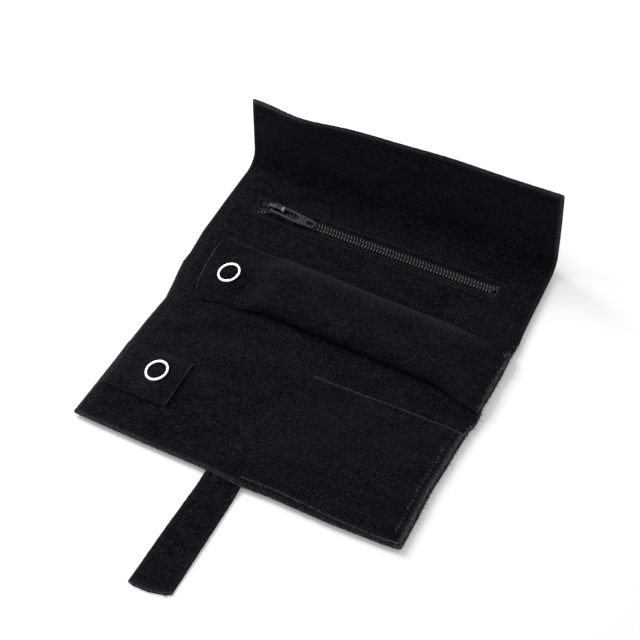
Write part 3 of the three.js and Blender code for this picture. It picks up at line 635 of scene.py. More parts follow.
def make_weave_group():
    group, given, out = start_group(
        "weave", [("Threads per mm", "Float", 2.2)], [("Height", "Float"), ("Shade", "Float")])
    place = add_node(group, "ShaderNodeVectorMath", {0: millimetres(group)}, operation="SCALE")
    group.links.new(given.outputs["Threads per mm"], place.inputs["Scale"])
    part = add_node(group, "ShaderNodeSeparateXYZ", {0: place.outputs[0]})
    warp = combine(group, "SINE", combine(group, "MULTIPLY", part.outputs["X"], 6.283), 0.0)
    weft = combine(group, "SINE", combine(group, "MULTIPLY", part.outputs["Y"], 6.283), 0.0)
    height = combine(group, "MULTIPLY", warp, weft)
    group.links.new(height, out.inputs["Height"])
    group.links.new(remap(group, height, -1, 1), out.inputs["Shade"])
    return group


weave_group = make_weave_group()


def woven(name, dark, light, threads):
    material, tree, shader = start_material(name)
    weave = add_node(tree, "ShaderNodeGroup", {"Threads per mm": threads}, node_tree=weave_group)
    colour = mix_colours(tree, weave.outputs["Shade"], (*dark, 1), (*light, 1))
    dress_shader(tree, shader, colour, weave.outputs["Height"], 0.5, 0.0001,
                 {"Roughness": 0.8, "Specular IOR Level": 0.25})
    return material


tape_cloth = woven("tape_cloth", (0.002, 0.002, 0.0026), (0.009, 0.009, 0.0105), 1.6)
bag_cloth = woven("bag_cloth", (0.004, 0.004, 0.005), (0.012, 0.012, 0.014), 3.0)


def coil_nylon():
    material, tree, shader = start_material("coil_nylon")
    haze = noise(tree, millimetres(tree), 1.7)
    tree.links.new(mix_colours(tree, haze, (0.01, 0.01, 0.0112, 1), (0.032, 0.032, 0.0345, 1)),
                   shader.inputs["Base Color"])
    tree.links.new(remap(tree, haze, 0.3, 0.7, 0.22, 0.36), shader.inputs["Roughness"])
    shader.inputs["Specular IOR Level"].default_value = 0.8
    shader.inputs["Specular Tint"].default_value = (0.9, 0.94, 1, 1)
    return material


nylon = coil_nylon()
coil_left, coil_right = -56.4, 56.0
coil_pitch, coil_wire, coil_steps = 1.45, 0.3, 12
coil_outer, coil_reach, coil_middle, coil_rise = 2.4, 0.2, 3.92, 0.56
parted_from, parted_to, parting = -51.0, -57.5, 1.2
tape_left, tape_right, tape_inner, tape_outer, tape_low = -62.5, 61.0, 1.0, 12.4, 2.75
thin_cloth = 0.3


def coil_shift(x):
    """How far a coil stands off the middle, behind the slider."""
    return parting * ease(parted_from - x, 0, parted_from - parted_to)


def part_with_slider(piece):
    """Hangs a zip side on the upper panel and gives it a mesh of its own."""
    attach(piece, "upper")
    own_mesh(piece)


for side, label in ((1, "upper"), (-1, "lower")):
    half = (coil_outer + coil_reach) / 2
    path = []
    for k in range(int((coil_right - coil_left) / coil_pitch) * coil_steps + 1):
        angle = 2 * math.pi * k / coil_steps
        c, h = math.cos(angle), math.sin(angle)
        x = coil_left + coil_pitch * (k / coil_steps + (0.5 if side > 0 else 0))
        y = (coil_outer - coil_reach) / 2 + half * math.copysign(abs(c) ** 0.9, c) + coil_shift(x)
        z = coil_middle + coil_rise * math.copysign(abs(h) ** 0.9, h)
        path.append((x, zip_y + side * y, z))
    coil = make_piece(f"zip_coil_loops_{label}", *tube(path, [coil_wire] * len(path), 6), nylon)
    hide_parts(f"zip_coil_{label}")
    part_with_slider(coil)

    xs = np.linspace(tape_left, tape_right, 124)
    ys = [tape_inner, tape_inner + 0.15, 1.8, 2.6, 3.4, 4.2, 6, 8, 10, tape_outer]
    grid = [[(x, zip_y + side * (y + coil_shift(x)), tape_low + (0.28 if 1.05 < y < 4 else 0.15))
             for x in xs] for y in ys]
    faces = grid_faces(len(ys), len(xs))
    tape = make_piece(f"zip_tape_cloth_{label}", [p for line in grid for p in line],
                      faces if side > 0 else [f[::-1] for f in faces], tape_cloth)
    thicken(tape, thin_cloth)
    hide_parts(f"zip_tape_{label}")
    part_with_slider(tape)

    sewing = []
    for row_y in (coil_outer + 0.25, coil_outer + 0.75):
        sewing += stitches(
            lambda x, lift: (x, zip_y + side * (row_y + coil_shift(x)), tape_low + 0.3 + lift),
            -57.5, 55.5, 1.4, 0.35, 0.1)
    chain = make_piece(f"zip_coil_stitch_{label}", *join(sewing), thread)
    part_with_slider(chain)

window_stitch = []
for level in (window_low - window_seam, window_high + window_seam):
    window_stitch += stitches(lambda x, lift: (x, level, lining_top + lining_relief(x, level) + lift),
                              -60.2, 58.6, 2.1, 0.5)
for place in (window_left - window_seam, window_right + window_seam):
    window_stitch += stitches(lambda s, lift: (place, s, lining_top + lining_relief(place, s) + lift),
                              133.2, 143.4, 2.1, 0.5)
window_thread = make_piece("zip_window_topstitch", *join(window_stitch), worn_thread)
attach(window_thread, "upper")

bag_low, bag_high, bag_rows, bag_columns = 126.2, 150.4, 14, 44
bag_points = [(x, s, 1.28 + 0.2 * math.sin(0.3 * x + 0.4 * s)
               + 1.3 * math.exp(-min(x - tape_left, tape_right - x, s - bag_low, bag_high - s) / 1.2))
              for s in np.linspace(bag_low, bag_high, bag_rows)
              for x in np.linspace(tape_left, tape_right, bag_columns)]
bag = thicken(make_piece("zip_pocket_cloth", bag_points, grid_faces(bag_rows, bag_columns), bag_cloth),
              thin_cloth)
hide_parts("zip_pocket_bag")
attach(bag, "upper")


# Slider and puller: die-cast zinc with dark baked enamel. Two plates on a post close round the coils, a
# bail stands on the upper plate, and the puller's frame hangs on it, with a long slot and a square eye at
# its tip.
def make_wear_group():
    group, given, out = start_group(
        "handled_metal", [("Rubbed", "Float", 0.3)], [("Mask", "Float"), ("Height", "Float")])
    edges = add_node(group, "ShaderNodeNewGeometry")
    ridge = remap(group, edges.outputs["Pointiness"], 0.52, 0.6)
    patches = noise(group, millimetres(group), 0.9, 4.0)
    mask = combine(group, "MULTIPLY", ridge, remap(group, patches, 0.4, 0.65))
    group.links.new(combine(group, "MULTIPLY", mask, given.outputs["Rubbed"]), out.inputs["Mask"])
    group.links.new(patches, out.inputs["Height"])
    return group


wear_group = make_wear_group()


def handled_metal(name, colour, bare, rubbed, roughness, metallic, shine=0.5):
    """Metal that bares where its edges are handled, and takes its bare colour where the mesh marks wear and
    painted highlights.
    """
    material, tree, shader = start_material(name)
    wear = add_node(tree, "ShaderNodeGroup", {"Rubbed": rubbed}, node_tree=wear_group)
    spot = add_node(tree, "ShaderNodeAttribute", attribute_name="wear_and_painted_light")
    mask = combine(tree, "MAXIMUM", wear.outputs["Mask"], spot.outputs["Fac"])
    tree.links.new(remap(tree, wear.outputs["Height"], 0.3, 0.7, roughness * 0.8, roughness * 1.25),
                   shader.inputs["Roughness"])
    dress_shader(tree, shader, mix_colours(tree, mask, (*colour, 1), (*bare, 1)), wear.outputs["Height"],
                 0.06, 0.0001, {"Metallic": metallic, "Specular IOR Level": shine})
    return material


enamel = handled_metal("enamel", (0.034, 0.036, 0.042), (0.15, 0.155, 0.175), 0.5, 0.32, 0.0, 0.3)
# Painted shade: the slider body's enamel is much darker than the puller's, standing in for the shade under
# the puller.
slider_enamel_painted_shade = handled_metal("slider_enamel_painted_shade", (0.004, 0.004, 0.005), (0.08, 0.08, 0.083),
                             0.4, 0.4, 0.0, 0.12)
# The bail's enamel: rubbed at its edges, with its bare colour painted on its right shoulder as a highlight.
rubbed_and_highlit_enamel = handled_metal("rubbed_and_highlit_enamel", (0.028, 0.029, 0.034), (0.5, 0.51, 0.54),
                              0.15, 0.3, 0.0, 0.25)
slider_left, slider_right, slider_wide, slider_narrow = -55.1, -46.1, 3.3, 3.0


def plate(name, outline, low, high, bevel, holes=(), at=(0, 0, 0)):
    """A flat plate with rounded edges, cut to an outline; points are (x, y) from the given place."""
    curve = bpy.data.curves.new(name, "CURVE")
    curve.dimensions = "2D"
    curve.fill_mode = "BOTH"
    for ring in (outline, *holes):
        spline = curve.splines.new("POLY")
        spline.points.add(len(ring) - 1)
        for point, (x, y) in zip(spline.points, ring):
            point.co = (x, y, 0, 1)
        spline.use_cyclic_u = True
    curve.offset = -bevel
    curve.extrude = (high - low) / 2 - bevel
    curve.bevel_depth = bevel
    curve.bevel_resolution = 2
    holder = bpy.data.objects.new(name, curve)
    bpy.context.collection.objects.link(holder)
    bpy.context.view_layer.update()
    mesh = bpy.data.meshes.new_from_object(holder.evaluated_get(bpy.context.evaluated_depsgraph_get()))
    points = [(v.co.x + at[0], v.co.y + at[1], v.co.z + (low + high) / 2 + at[2]) for v in mesh.vertices]
    faces = [tuple(p.vertices) for p in mesh.polygons]
    bpy.data.objects.remove(holder)
    return points, faces


def rounded(points, radius, steps=5):
    """A closed outline with its corners rounded."""
    result = []
    for k, corner in enumerate(points):
        here = Vector(corner)
        before, after = Vector(points[k - 1]) - here, Vector(points[(k + 1) % len(points)]) - here
        cut = min(radius, 0.45 * before.length, 0.45 * after.length)
        start, end = here + before.normalized() * cut, here + after.normalized() * cut
        for j in range(steps + 1):
            t = j / steps
            result.append(tuple((1 - t) ** 2 * start + 2 * t * (1 - t) * here + t * t * end))
    return result


slider_outline = rounded([(slider_right, -slider_narrow), (slider_right, slider_narrow),
                          (slider_left + 4.6, slider_narrow), (slider_left + 1.4, slider_wide),
                          (slider_left, slider_wide - 0.9), (slider_left, -slider_wide + 0.9),
                          (slider_left + 1.4, -slider_wide), (slider_left + 4.6, -slider_narrow)], 0.9)
flange = [[(slider_left + 3, side * 2.55), (slider_right, side * 2.55), (slider_right, side * 3.0),
           (slider_left + 3, side * 3.0)][::side] for side in (1, -1)]
post = rounded([(slider_left + 0.7, -0.6), (slider_left + 2.5, -0.35), (slider_left + 2.5, 0.35),
                (slider_left + 0.7, 0.6)], 0.3)
bail_left, bail_right, bail_half, bail_thick = slider_left + 1.2, slider_left + 8.4, 1.05, 0.7
bail_low, bail_shoulder, bail_bend, bail_crown = 5.3, 6.5, 7.3, 7.65
bail_path = [(bail_left, bail_low), (bail_left, bail_shoulder), (bail_left + 0.35, bail_bend),
             (bail_left + 1.2, bail_crown), (bail_right - 1.2, bail_crown), (bail_right - 0.35, bail_bend),
             (bail_right, bail_shoulder), (bail_right, bail_low)]


def bail_band():
    """A flat band bent over the slider, with a painted highlight at its right shoulder; the bevel that
    follows eases it.
    """
    outer, inner = [], []
    for k, (x, z) in enumerate(bail_path):
        before, after = bail_path[max(k - 1, 0)], bail_path[min(k + 1, len(bail_path) - 1)]
        heading = Vector((after[0] - before[0], after[1] - before[1])).normalized()
        out = Vector((-heading.y, heading.x)) * bail_thick / 2
        outer.append(Vector((x, z)) + out)
        inner.append(Vector((x, z)) - out)
    points, faces = [], []
    for edge_y in (-bail_half, bail_half):
        # The fourth number marks the right shoulder, where the bare colour is a painted highlight.
        points += [(p.x, zip_y + edge_y, p.y, float(p.x > bail_right - 1.0 and p.y > 6.9))
                   for p in outer + inner]
    n = len(bail_path)
    for k in range(n - 1):
        faces += [(k, k + 1, 2 * n + k + 1, 2 * n + k), (n + k + 1, n + k, 3 * n + k, 3 * n + k + 1),
                  (k + 1, k, n + k, n + k + 1), (2 * n + k, 2 * n + k + 1, 3 * n + k + 1, 3 * n + k)]
    faces += [(0, 2 * n, 3 * n, n), (n - 1, 2 * n - 1, 4 * n - 1, 3 * n - 1)]
    return points, faces


def ease_edges(piece, width):
    bevel = piece.modifiers.new("eased", "BEVEL")
    bevel.width = width * mm
    bevel.segments = 3
    bevel.limit_method = "ANGLE"
    bevel.angle_limit = math.radians(40)
    return settle(piece, 35)


slider_parts = [("upper_plate", slider_outline, 4.9, 5.6, 0.16),
                ("lower_plate", slider_outline, 1.6, 2.3, 0.16),
                ("flange_far", flange[0], 3.25, 5.4, 0.1), ("flange_near", flange[1], 3.25, 5.4, 0.1),
                ("post", post, 1.9, 5.3, 0.08)]
slider = make_piece("zip_slider_body",
                    *join([(0, plate(*part, at=(0, zip_y, 0))) for part in slider_parts]), slider_enamel_painted_shade)
settle(slider, 35)
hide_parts("zip_slider")
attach(slider, "zip_slider")
bail = ease_edges(make_piece("zip_slider_bail", *bail_band(), rubbed_and_highlit_enamel), 0.14)
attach(bail, "zip_slider")

puller_pivot = (-52.0, zip_y, 6.45)
puller_length, puller_wide, puller_neck, puller_narrow = 22.0, 2.8, 13.0, 2.0
puller_outline = rounded([(-0.45, -puller_wide), (puller_neck, -puller_wide),
                          (puller_length - 0.45, -puller_narrow), (puller_length - 0.45, puller_narrow),
                          (puller_neck, puller_wide), (-0.45, puller_wide)], 0.7)
puller_slot = rounded([(0.45, -1.6), (0.45, 1.6), (11.4, 1.6), (13.0, 0.9), (13.0, -0.9), (11.4, -1.6)], 0.7)
puller_eye = rounded([(17.5, -1.1), (17.5, 1.1), (20.5, 1.1), (20.5, -1.1)], 0.3)
droop, sway = math.radians(2.9), math.radians(-3.5)


def hang(point):
    """A point of the flat puller, swung to where it lies on the bail."""
    x, y, z = point
    x, y = x * math.cos(sway) - y * math.sin(sway), x * math.sin(sway) + y * math.cos(sway)
    return (puller_pivot[0] + x * math.cos(droop) + z * math.sin(droop), puller_pivot[1] + y,
            puller_pivot[2] - x * math.sin(droop) + z * math.cos(droop))


puller_points, puller_faces = plate("puller", puller_outline, -0.4, 0.4, 0.16,
                                    holes=(puller_slot, puller_eye))
puller = make_piece("zip_puller_frame", [hang(p) for p in puller_points], puller_faces, enamel)
settle(puller, 35)
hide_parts("zip_puller")
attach(puller, "zip_puller")


# Slip pocket: one ply of the lining's velvet, its mouth hemmed, its left edge turned under and pressed
# flat. Its foot is sewn on just inside the roll's own edge, its right edge is caught in the right seam, and
# a small round of stitches tacks its mouth at the left.
pocket_left_at, pocket_mouth = [(0, 3.0), (12, 4.6), (30, 6.2), (61, 7.0)], 61.1
pocket_side_seam = 4.0
pocket_steps = [0, 0.04, 0.16, 0.4, 0.8, 1.4, 2.2, 3.2]
pocket_rise = [0.02, 0.2, 0.38, 0.46, 0.48, 0.44, 0.47, 0.48]
pocket_wear = [0.6, 0.7, 0.9, 0.95, 0.75, 0.35, 0.05, 0]


def pocket_foot(x):
    return along(bottom_edge_at, x) + 2.5 - 1.9 * ease(x, 8, 72)


def pocket_point(u, v):
    """A point of the pocket: u across and v along, each (side, step) near an edge or (0, share) between."""
    side_u, across = u
    side_v, up = v
    margin, last = pocket_steps[-1], len(pocket_steps) - 1
    s = 30.0
    for _ in range(2):
        left, right = along(pocket_left_at, s), along(right_edge_at, s) - 0.15
        if side_u:
            edge = left if side_u < 0 else right + ragged(s, 4.2, 0.3 * fraying(right, s)) * (across < 4)
            x = edge - side_u * pocket_steps[across]
        else:
            x = left + margin + across * (right - left - 2 * margin)
        foot = pocket_foot(x)
        if side_v:
            edge = foot + ragged(x, 5.1, 0.2) * (up < 4) if side_v < 0 else pocket_mouth
            s = edge - side_v * pocket_steps[up]
        else:
            s = foot + margin + up * (pocket_mouth - foot - 2 * margin)
    step = min(across if side_u else last, up if side_v else last)
    rise = pocket_rise[step] * (1 if side_u >= 0 or across > up else 0.4)
    hem = 0.2 * ease(s, 50.8, 52.2) * ease(pocket_mouth - s, 0, 0.5)
    gape = 0.3 * math.exp(-(pocket_mouth - s) / 6) * math.sin(math.pi * (x - left) / (right - left))
    inset = min(right + 0.15 - x, s - along(bottom_edge_at, x))
    ground = along(lining_rolled[3:], inset) + lining_relief(x, s) * min(1, inset / 7) ** 2
    pressed = side_u < 0 and across <= (up if side_v else last)
    frayed = fraying(x, s) * (step < 4) * (0.03 if pressed else 1)
    if side_u > 0:
        frayed = max(frayed, pocket_wear[across])
    if side_v > 0 and up < 4:
        frayed = 1.0
    elif side_v < 0 and up < 3:
        frayed = 0.5
    return (*lay(x, s, ground + rise + hem + gape), frayed)


def pocket_places(count):
    steps = range(len(pocket_steps))
    return ([(-1, k) for k in steps] + [(0, float(v)) for v in np.linspace(0, 1, count)[1:-1]]
            + [(1, k) for k in reversed(steps)])


pocket_us, pocket_vs = pocket_places(32), pocket_places(30)
pocket_points = [pocket_point(u, v) for v in pocket_vs for u in pocket_us]
pocket_faces = grid_faces(len(pocket_vs), len(pocket_us))
pocket = make_piece("slip_pocket_cloth", pocket_points, pocket_faces, lining_velvet)
pocket_grid = np.array(pocket_points)[:, :3].reshape(len(pocket_vs), len(pocket_us), 3)
thicken(pocket, thin_cloth)


def pocket_row(line):
    """A surface along one grid line of the pocket, for stitches to follow."""
    def surface(place, lift):
        x, y, z = [float(np.interp(place, line[:, 0], line[:, k])) for k in range(3)]
        return x, y, z + lift
    return surface


def pocket_side(s, lift):
    """The topstitch of the right seam, where it runs over the pocket."""
    x = along(right_edge_at, s) - pocket_side_seam
    row = np.abs(pocket_grid[:, len(pocket_steps):, 1].mean(axis=1) - s).argmin()
    return x, s, float(np.interp(x, pocket_grid[row, :, 0], pocket_grid[row, :, 2])) + lift


mouth_line = pocket_grid[-6]
foot_line = pocket_grid[5]
pocket_sewing = stitches(pocket_row(mouth_line), 8.4, 73.5, 2.3, 0.5)
pocket_sewing += stitches(pocket_row(foot_line), 8.4, 73.2, 2.3, 0.5)
side_sewing = stitches(pocket_side, 4.5, 60.2, 1.5, 0.8, 0.2)
tack_x, tack_s, tack_spokes, tack_ends, tack_height = 13.2, 58.0, 9, (0.7, 1.5), 4.55
for spoke in range(tack_spokes):
    angle = 2 * math.pi * spoke / tack_spokes
    ends = [(tack_x + r * math.cos(angle), tack_s + r * math.sin(angle)) for r in tack_ends]
    path = [lay(x, s, tack_height + lining_relief(x, s)) for x, s in ends]
    pocket_sewing.append((tack_s, tube(path, [thread_radius] * 2)))
pocket_thread = make_piece("slip_pocket_stitch", *join(pocket_sewing), thread)
pocket_side_thread = make_piece("slip_pocket_side_stitch", *join(side_sewing), worn_thread)
for piece in (pocket, pocket_thread, pocket_side_thread):
    bend_across(piece, "lower")
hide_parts("slip_pocket")


# Ring snaps: bright nickel, crimped through the cloth. The cap's ring shows on top, with velvet puffing up
# inside it; below the cloth is the socket, on the lining the stud that it snaps on, and behind the lining
# the pronged ring that holds the stud.
nickel = handled_metal("nickel", (0.88, 0.88, 0.88), (0.95, 0.95, 0.95), 0.3, 0.14, 1.0)
roll_snap_at = (-50.4, 93.2)
tab_snap_at = (-51.6, 31.7)


def lathe(profile, centre, steps=64):
    """Points and faces of a closed profile of (radius, height) turned round a snap's axis."""
    points, faces = [], []
    n = len(profile)
    for k in range(steps):
        angle = 2 * math.pi * k / steps
        points += [(centre[0] + r * math.cos(angle), centre[1] + r * math.sin(angle), z) for r, z in profile]
    for k in range(steps):
        a, b = k * n, (k + 1) % steps * n
        faces += [(a + j, b + j, b + (j + 1) % n, a + (j + 1) % n) for j in range(n)]
    return points, faces


ring_profile = [(4.02, 8.0), (3.97, 8.25), (4.0, 8.5), (4.1, 8.72), (4.3, 8.86), (4.62, 8.92), (4.95, 8.86),
                (5.15, 8.7), (5.25, 8.45), (5.24, 8.2), (5.15, 8.0)]
socket_profile = [(2.3, 5.25), (2.6, 5.2), (5.0, 5.22), (5.35, 5.35), (5.45, 5.55), (5.45, 6.1), (5.2, 6.28),
                  (2.6, 6.3), (2.3, 6.15), (2.2, 5.7)]
stud_profile = [(0.02, 4.2), (5.1, 4.18), (5.4, 4.3), (5.4, 4.6), (5.15, 4.8), (4.6, 4.88), (2.4, 4.9),
                (1.75, 4.98), (1.6, 5.2), (1.86, 5.5), (1.88, 5.65), (1.6, 5.9), (0.9, 6.0), (0.02, 6.0)]
ring_slope = (0.21, 0.15)
for name, centre, upper_body, lower_body in (("roll_snap", roll_snap_at, "ring_roll", "middle"),
                                             ("tab_snap", tab_snap_at, "necklace_tab", "lower")):
    for part, profile, body in (("cap_ring", ring_profile, upper_body),
                                ("socket", socket_profile, upper_body), ("stud", stud_profile, lower_body)):
        turned_points, turned_faces = lathe(profile, centre)
        if part == "cap_ring":
            turned_points = [(x, y, z + ring_slope[0] * (x - centre[0]) + ring_slope[1] * (y - centre[1]))
                             for x, y, z in turned_points]
        metal = make_piece(f"{name}_{part}_turned", turned_points, turned_faces, nickel)
        settle(metal, 40)
        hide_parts(f"{name}_{part}")
        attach(metal, body)
    back_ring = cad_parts[f"{name}_back_ring"]
    back_ring.data.materials.clear()
    back_ring.data.materials.append(nickel)


# Ring roll: a velvet tube stuffed with wadding, sewn into the right seam; its left end is flat and snaps
# down. The cloth is blown out on its filling by simulation, held at its flat end and in its seam.
roll_velvet = velveteen("roll_velvet", (0.0014, 0.0016, 0.002), (0.0155, 0.017, 0.021), 0.5)
roll_left, roll_right, roll_far_left, roll_far_right = -61.0, 76.0, 112.2, 107.6
roll_left_width, roll_waist_width, roll_right_width, roll_corner = 32.2, 30.4, 35.0, 3.0
roll_flat, roll_left_swell, roll_right_swell = 19.0, 18.0, 28.0
roll_near_flare, roll_far_flare, roll_end_bow, roll_seam_drop = 2.4, 0.8, 1.9, 0.8
roll_lifted, roll_lifted_thick, roll_rest, roll_high, roll_seam_high = 6.55, 1.45, 4.15, 7.5, 1.5


def near_snap(x, y, centre):
    """How the cloth tips with its snap and droops away from it."""
    dx, dy = x - centre[0], y - centre[1]
    away = math.hypot(dx, dy)
    tipped = (ring_slope[0] * dx + ring_slope[1] * dy) * math.exp(-((away / 8) ** 4))
    return tipped, ease(away, 6, 14)


def seat_ring(x, y, z, centre):
    """Velvet under a cap ring: pressed down by its band, puffed up inside it, drawn in round it."""
    away = math.hypot(x - centre[0], y - centre[1])
    around = math.atan2(y - centre[1], x - centre[0])
    puff = 0.6 * max(0, 1 - (away / 3.9) ** 2) ** 0.7
    press = 0.12 * dip(away, 4.6, 0.9)
    drawn = 0.2 * dip(away, 7.2, 2.2) * math.sin(7 * around + 0.8) * (away > 5.2)
    return z + puff - press + drawn


def corners_out(count, power):
    """Steps round a section that power squares off: cosine, sine, and how far out each way it lies."""
    for k in range(count):
        angle = 2 * math.pi * k / count
        c, s = math.cos(angle), math.sin(angle)
        yield c, s, math.copysign(abs(c) ** power, c), math.copysign(abs(s) ** power, s)


def roll_section(from_left):
    """One closed line round the roll, so far from its left end."""
    length = roll_right - roll_left
    raised = 1 - ease(from_left, roll_flat, roll_flat + roll_left_swell)
    closing = 1 - ease(from_left, length - roll_right_swell, length)
    corner = max(0, roll_corner - from_left)
    rounding = roll_corner - math.sqrt(roll_corner ** 2 - corner ** 2)
    flat = roll_seam_high + (roll_lifted_thick - roll_seam_high) * raised
    swell = (1 - raised) * closing
    height = flat + (roll_high - flat) * swell
    waist = roll_waist_width + (roll_left_width - roll_waist_width) * raised
    full = roll_right_width + (waist - roll_right_width) * closing
    width = full - 2 * rounding
    sewn = ease(from_left, length - 6, length)
    low = roll_rest + (roll_lifted - roll_rest) * raised - roll_seam_drop * sewn
    centre = roll_far_left + (roll_far_right - roll_far_left) * from_left / length - full / 2
    power = 0.28 + 0.5 * swell
    groove = 0.45 * raised + 0.2 * (1 - raised)
    section = []
    for c, s, across, up in corners_out(60, power):
        y = centre + width / 2 * across - roll_near_flare * max(0, -across) * (1 - ease(from_left, 3, 17))
        y += roll_far_flare * max(0, across) * (1 - ease(from_left, 2, 9))
        rise = height / 2 + height / 2 * up
        if abs(s) < 1e-6:
            y -= math.copysign(groove, c)
        bow = roll_end_bow * (1 - across ** 4)
        x = roll_left + from_left - (1.3 * (y - 96) / 16 + bow) * (1 - ease(from_left, 0, 18))
        tipped, droop = near_snap(x, y, roll_snap_at)
        drop = droop * raised * (2.1 if y < roll_snap_at[1] else 1.1)
        z = max(low + tipped - drop, roll_rest - roll_seam_drop * sewn) + rise
        if s > 0.1 and from_left < 24:
            z = seat_ring(x, y, z, roll_snap_at)
        ridge = dip(y, 96.5 + 0.5 * (x + 45), 3.2) * ease(x, -47, -41) * (1 - ease(x, -36, -22))
        z += 0.9 * ridge * (s > 0)
        flat_edge = 0.6 * (from_left < 0.4) + 0.4 * (abs(s) < 0.15) * raised
        # Painted highlight: the roll's far side, along the top of its swell and the far edge of its flat
        # end, is painted paler.
        far_side_highlight = 0.35 * (c > 0.9 and abs(s) < 0.5) * raised + 0.14 * ease(c, 0.1, 0.95) * (s > 0) * swell
        raw_edge = 0.55 * sewn * (from_left > length - 1.2)
        section.append((x + ragged(0.6 * y, 3.3, 0.9) * (from_left > length - 0.5), y, z,
                        min(1.0, flat_edge + far_side_highlight + raw_edge)))
    return section


def loft(sections):
    """Points and faces through a row of closed sections, each end closed by a point in its middle."""
    n = len(sections[0])
    points = [p for section in sections for p in section]
    faces = [(k * n + j, k * n + (j + 1) % n, (k + 1) * n + (j + 1) % n, (k + 1) * n + j)
             for k in range(len(sections) - 1) for j in range(n)]
    for section, start, order in ((sections[0], 0, -1), (sections[-1], len(points) - n, 1)):
        middle = len(points)
        points.append(tuple(float(v) for v in np.mean(section, axis=0)))
        faces += [(start + j, start + (j + 1) % n, middle)[::order] for j in range(n)]
    return points, faces


roll_stations = ([0.02, 0.1, 0.3, 0.7, 1.3, 2.0, 2.9] + list(np.linspace(4, 24, 24))
                 + list(np.linspace(25.5, 134, 60)) + [135, 135.8, 136.4, 136.8, 137])
ring_roll = make_piece("ring_roll_velvet", *loft([roll_section(f) for f in roll_stations]), roll_velvet)


def blow_out(piece, held, pressure, cap, frames=18):
    """Swells a stuffed cloth by simulation, by at most cap; held(x) is 1 where it is sewn or snapped."""
    rest = np.array([v.co for v in piece.data.vertices])
    group = piece.vertex_groups.new(name="held")
    for k, co in enumerate(rest):
        weight = held(co[0] / mm)
        if weight > 0:
            group.add([k], weight, "REPLACE")
    cloth = piece.modifiers.new("stuffed", "CLOTH")
    cloth.settings.vertex_group_mass = "held"
    cloth.settings.use_pressure = True
    cloth.settings.uniform_pressure_force = pressure
    cloth.settings.mass = 0.02
    cloth.settings.tension_stiffness = 12
    cloth.settings.compression_stiffness = 6
    cloth.settings.bending_stiffness = 0.4
    cloth.settings.effector_weights.gravity = 0
    cloth.collision_settings.use_collision = False
    cloth.point_cache.frame_start = 1
    cloth.point_cache.frame_end = frames
    scene = bpy.context.scene
    for number in range(1, frames + 1):
        scene.frame_set(number)
    settle(piece)
    scene.frame_set(1)
    piece.vertex_groups.clear()
    moved = np.array([v.co for v in piece.data.vertices])
    step = moved - rest
    far = np.linalg.norm(step, axis=1)
    limit = cap * mm * np.tanh(far / (cap * mm)) / np.maximum(far, 1e-9)
    piece.data.vertices.foreach_set("co", (rest + step * limit[:, None]).ravel())
    piece.data.update()


def smooth(piece):
    rounding = piece.modifiers.new("smooth", "SUBSURF")
    rounding.levels = rounding.render_levels = 1
    settle(piece)


blow_out(ring_roll, lambda x: 1 - ease(x, -44, -30) if x < 0 else ease(x, 66, 73), 3.0, 1.6)
for vertex in ring_roll.data.vertices:
    x, y, z = vertex.co.x / mm, vertex.co.y / mm - panel_foot, vertex.co.z / mm
    z = max(z, roll_rest - 0.1 - roll_seam_drop * ease(x, 69, 75))
    gather = ease(x, 62, 72) * (1 - ease(x, 74.5, 76)) * 0.3 * math.sin(1.3 * y + 0.5 * math.sin(0.7 * y))
    vertex.co = placed((x, y, z + gather))
smooth(ring_roll)
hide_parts("ring_roll", "ring_roll_filling")
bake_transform(ring_roll)


# Necklace tab: two plies of velvet, turned and pressed flat, sewn into the left seam and snapped over the
# stud. The two plies' edges show as a double line round it.
tab_tip, tab_low, tab_high = -41.0, 19.0, 44.4
tab_lifted, tab_thick, tab_corner, tab_groove = 6.55, 1.4, 1.2, 0.45
tab_root = along(left_edge_at, 29)


def tab_section(x):
    """One closed line round the tab, at x."""
    from_left = x - tab_root
    rise = 2.6 + 0.9 * ease(from_left, 0, 3) + (tab_lifted - 3.5) * ease(from_left, 4, 19)
    thick = tab_thick * (0.6 + 0.4 * ease(from_left, 0, 4))
    tip = max(0, tab_corner - (tab_tip - x))
    rounding = tab_corner - math.sqrt(max(tab_corner ** 2 - tip ** 2, 0))
    width = tab_high - tab_low - 2 * rounding
    centre = (tab_low + tab_high) / 2
    section = []
    for c, s, across, up in corners_out(64, 0.22):
        y = centre + width / 2 * across
        if abs(s) < 1e-6:
            y -= math.copysign(tab_groove, c)
        tipped, droop = near_snap(x, y, tab_snap_at)
        ground = 2.6 + 1.5 * ease(from_left, 0.2, 4)
        z = max(rise + tipped - 2.6 * droop, ground) + thick / 2 + thick / 2 * up
        z += 0.1 * math.sin(0.35 * x + 0.25 * y) * ease(from_left, 6, 12)
        if s > 0.1:
            z = seat_ring(x, y, z, tab_snap_at)
        # Painted light: the tab's top is painted paler all over, most near its sewn left end.
        pale = 0.04 + 0.2 * (1 - ease(from_left, 0.6, 3)) + 0.1 * (1 - ease(from_left, 2, 10))
        edge = 0.45 * (tab_tip - x < 0.3) + 0.5 * (abs(s) < 0.15) + pale * (s > 0.1)
        section.append((x, y, z, min(1.0, edge)))
    return section


tab_stations = list(np.linspace(tab_root + 0.3, -43, 48)) + [-42.6, -42.1, -41.7, -41.4, -41.15, -41.02]
tab = make_piece("necklace_tab_velvet", *loft([tab_section(x) for x in tab_stations]), lining_velvet)
smooth(tab)
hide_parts("necklace_tab")
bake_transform(tab)


# Closing strap: a velvet band folded to two plies and edge-pressed, caught in the bottom seam.
# It is made in two lengths, which meet end to end.
strap_thick, strap_tip_thick, strap_end = 1.3, 0.95, -58.0
strap_corner, strap_groove = 0.35, 0.4
strap_left_at = [(-60, -13.8), (-30, -12.7), (3, -11.3)]
strap_right_at = [(-60, 4.4), (-30, 4.7), (3, 4.9)]


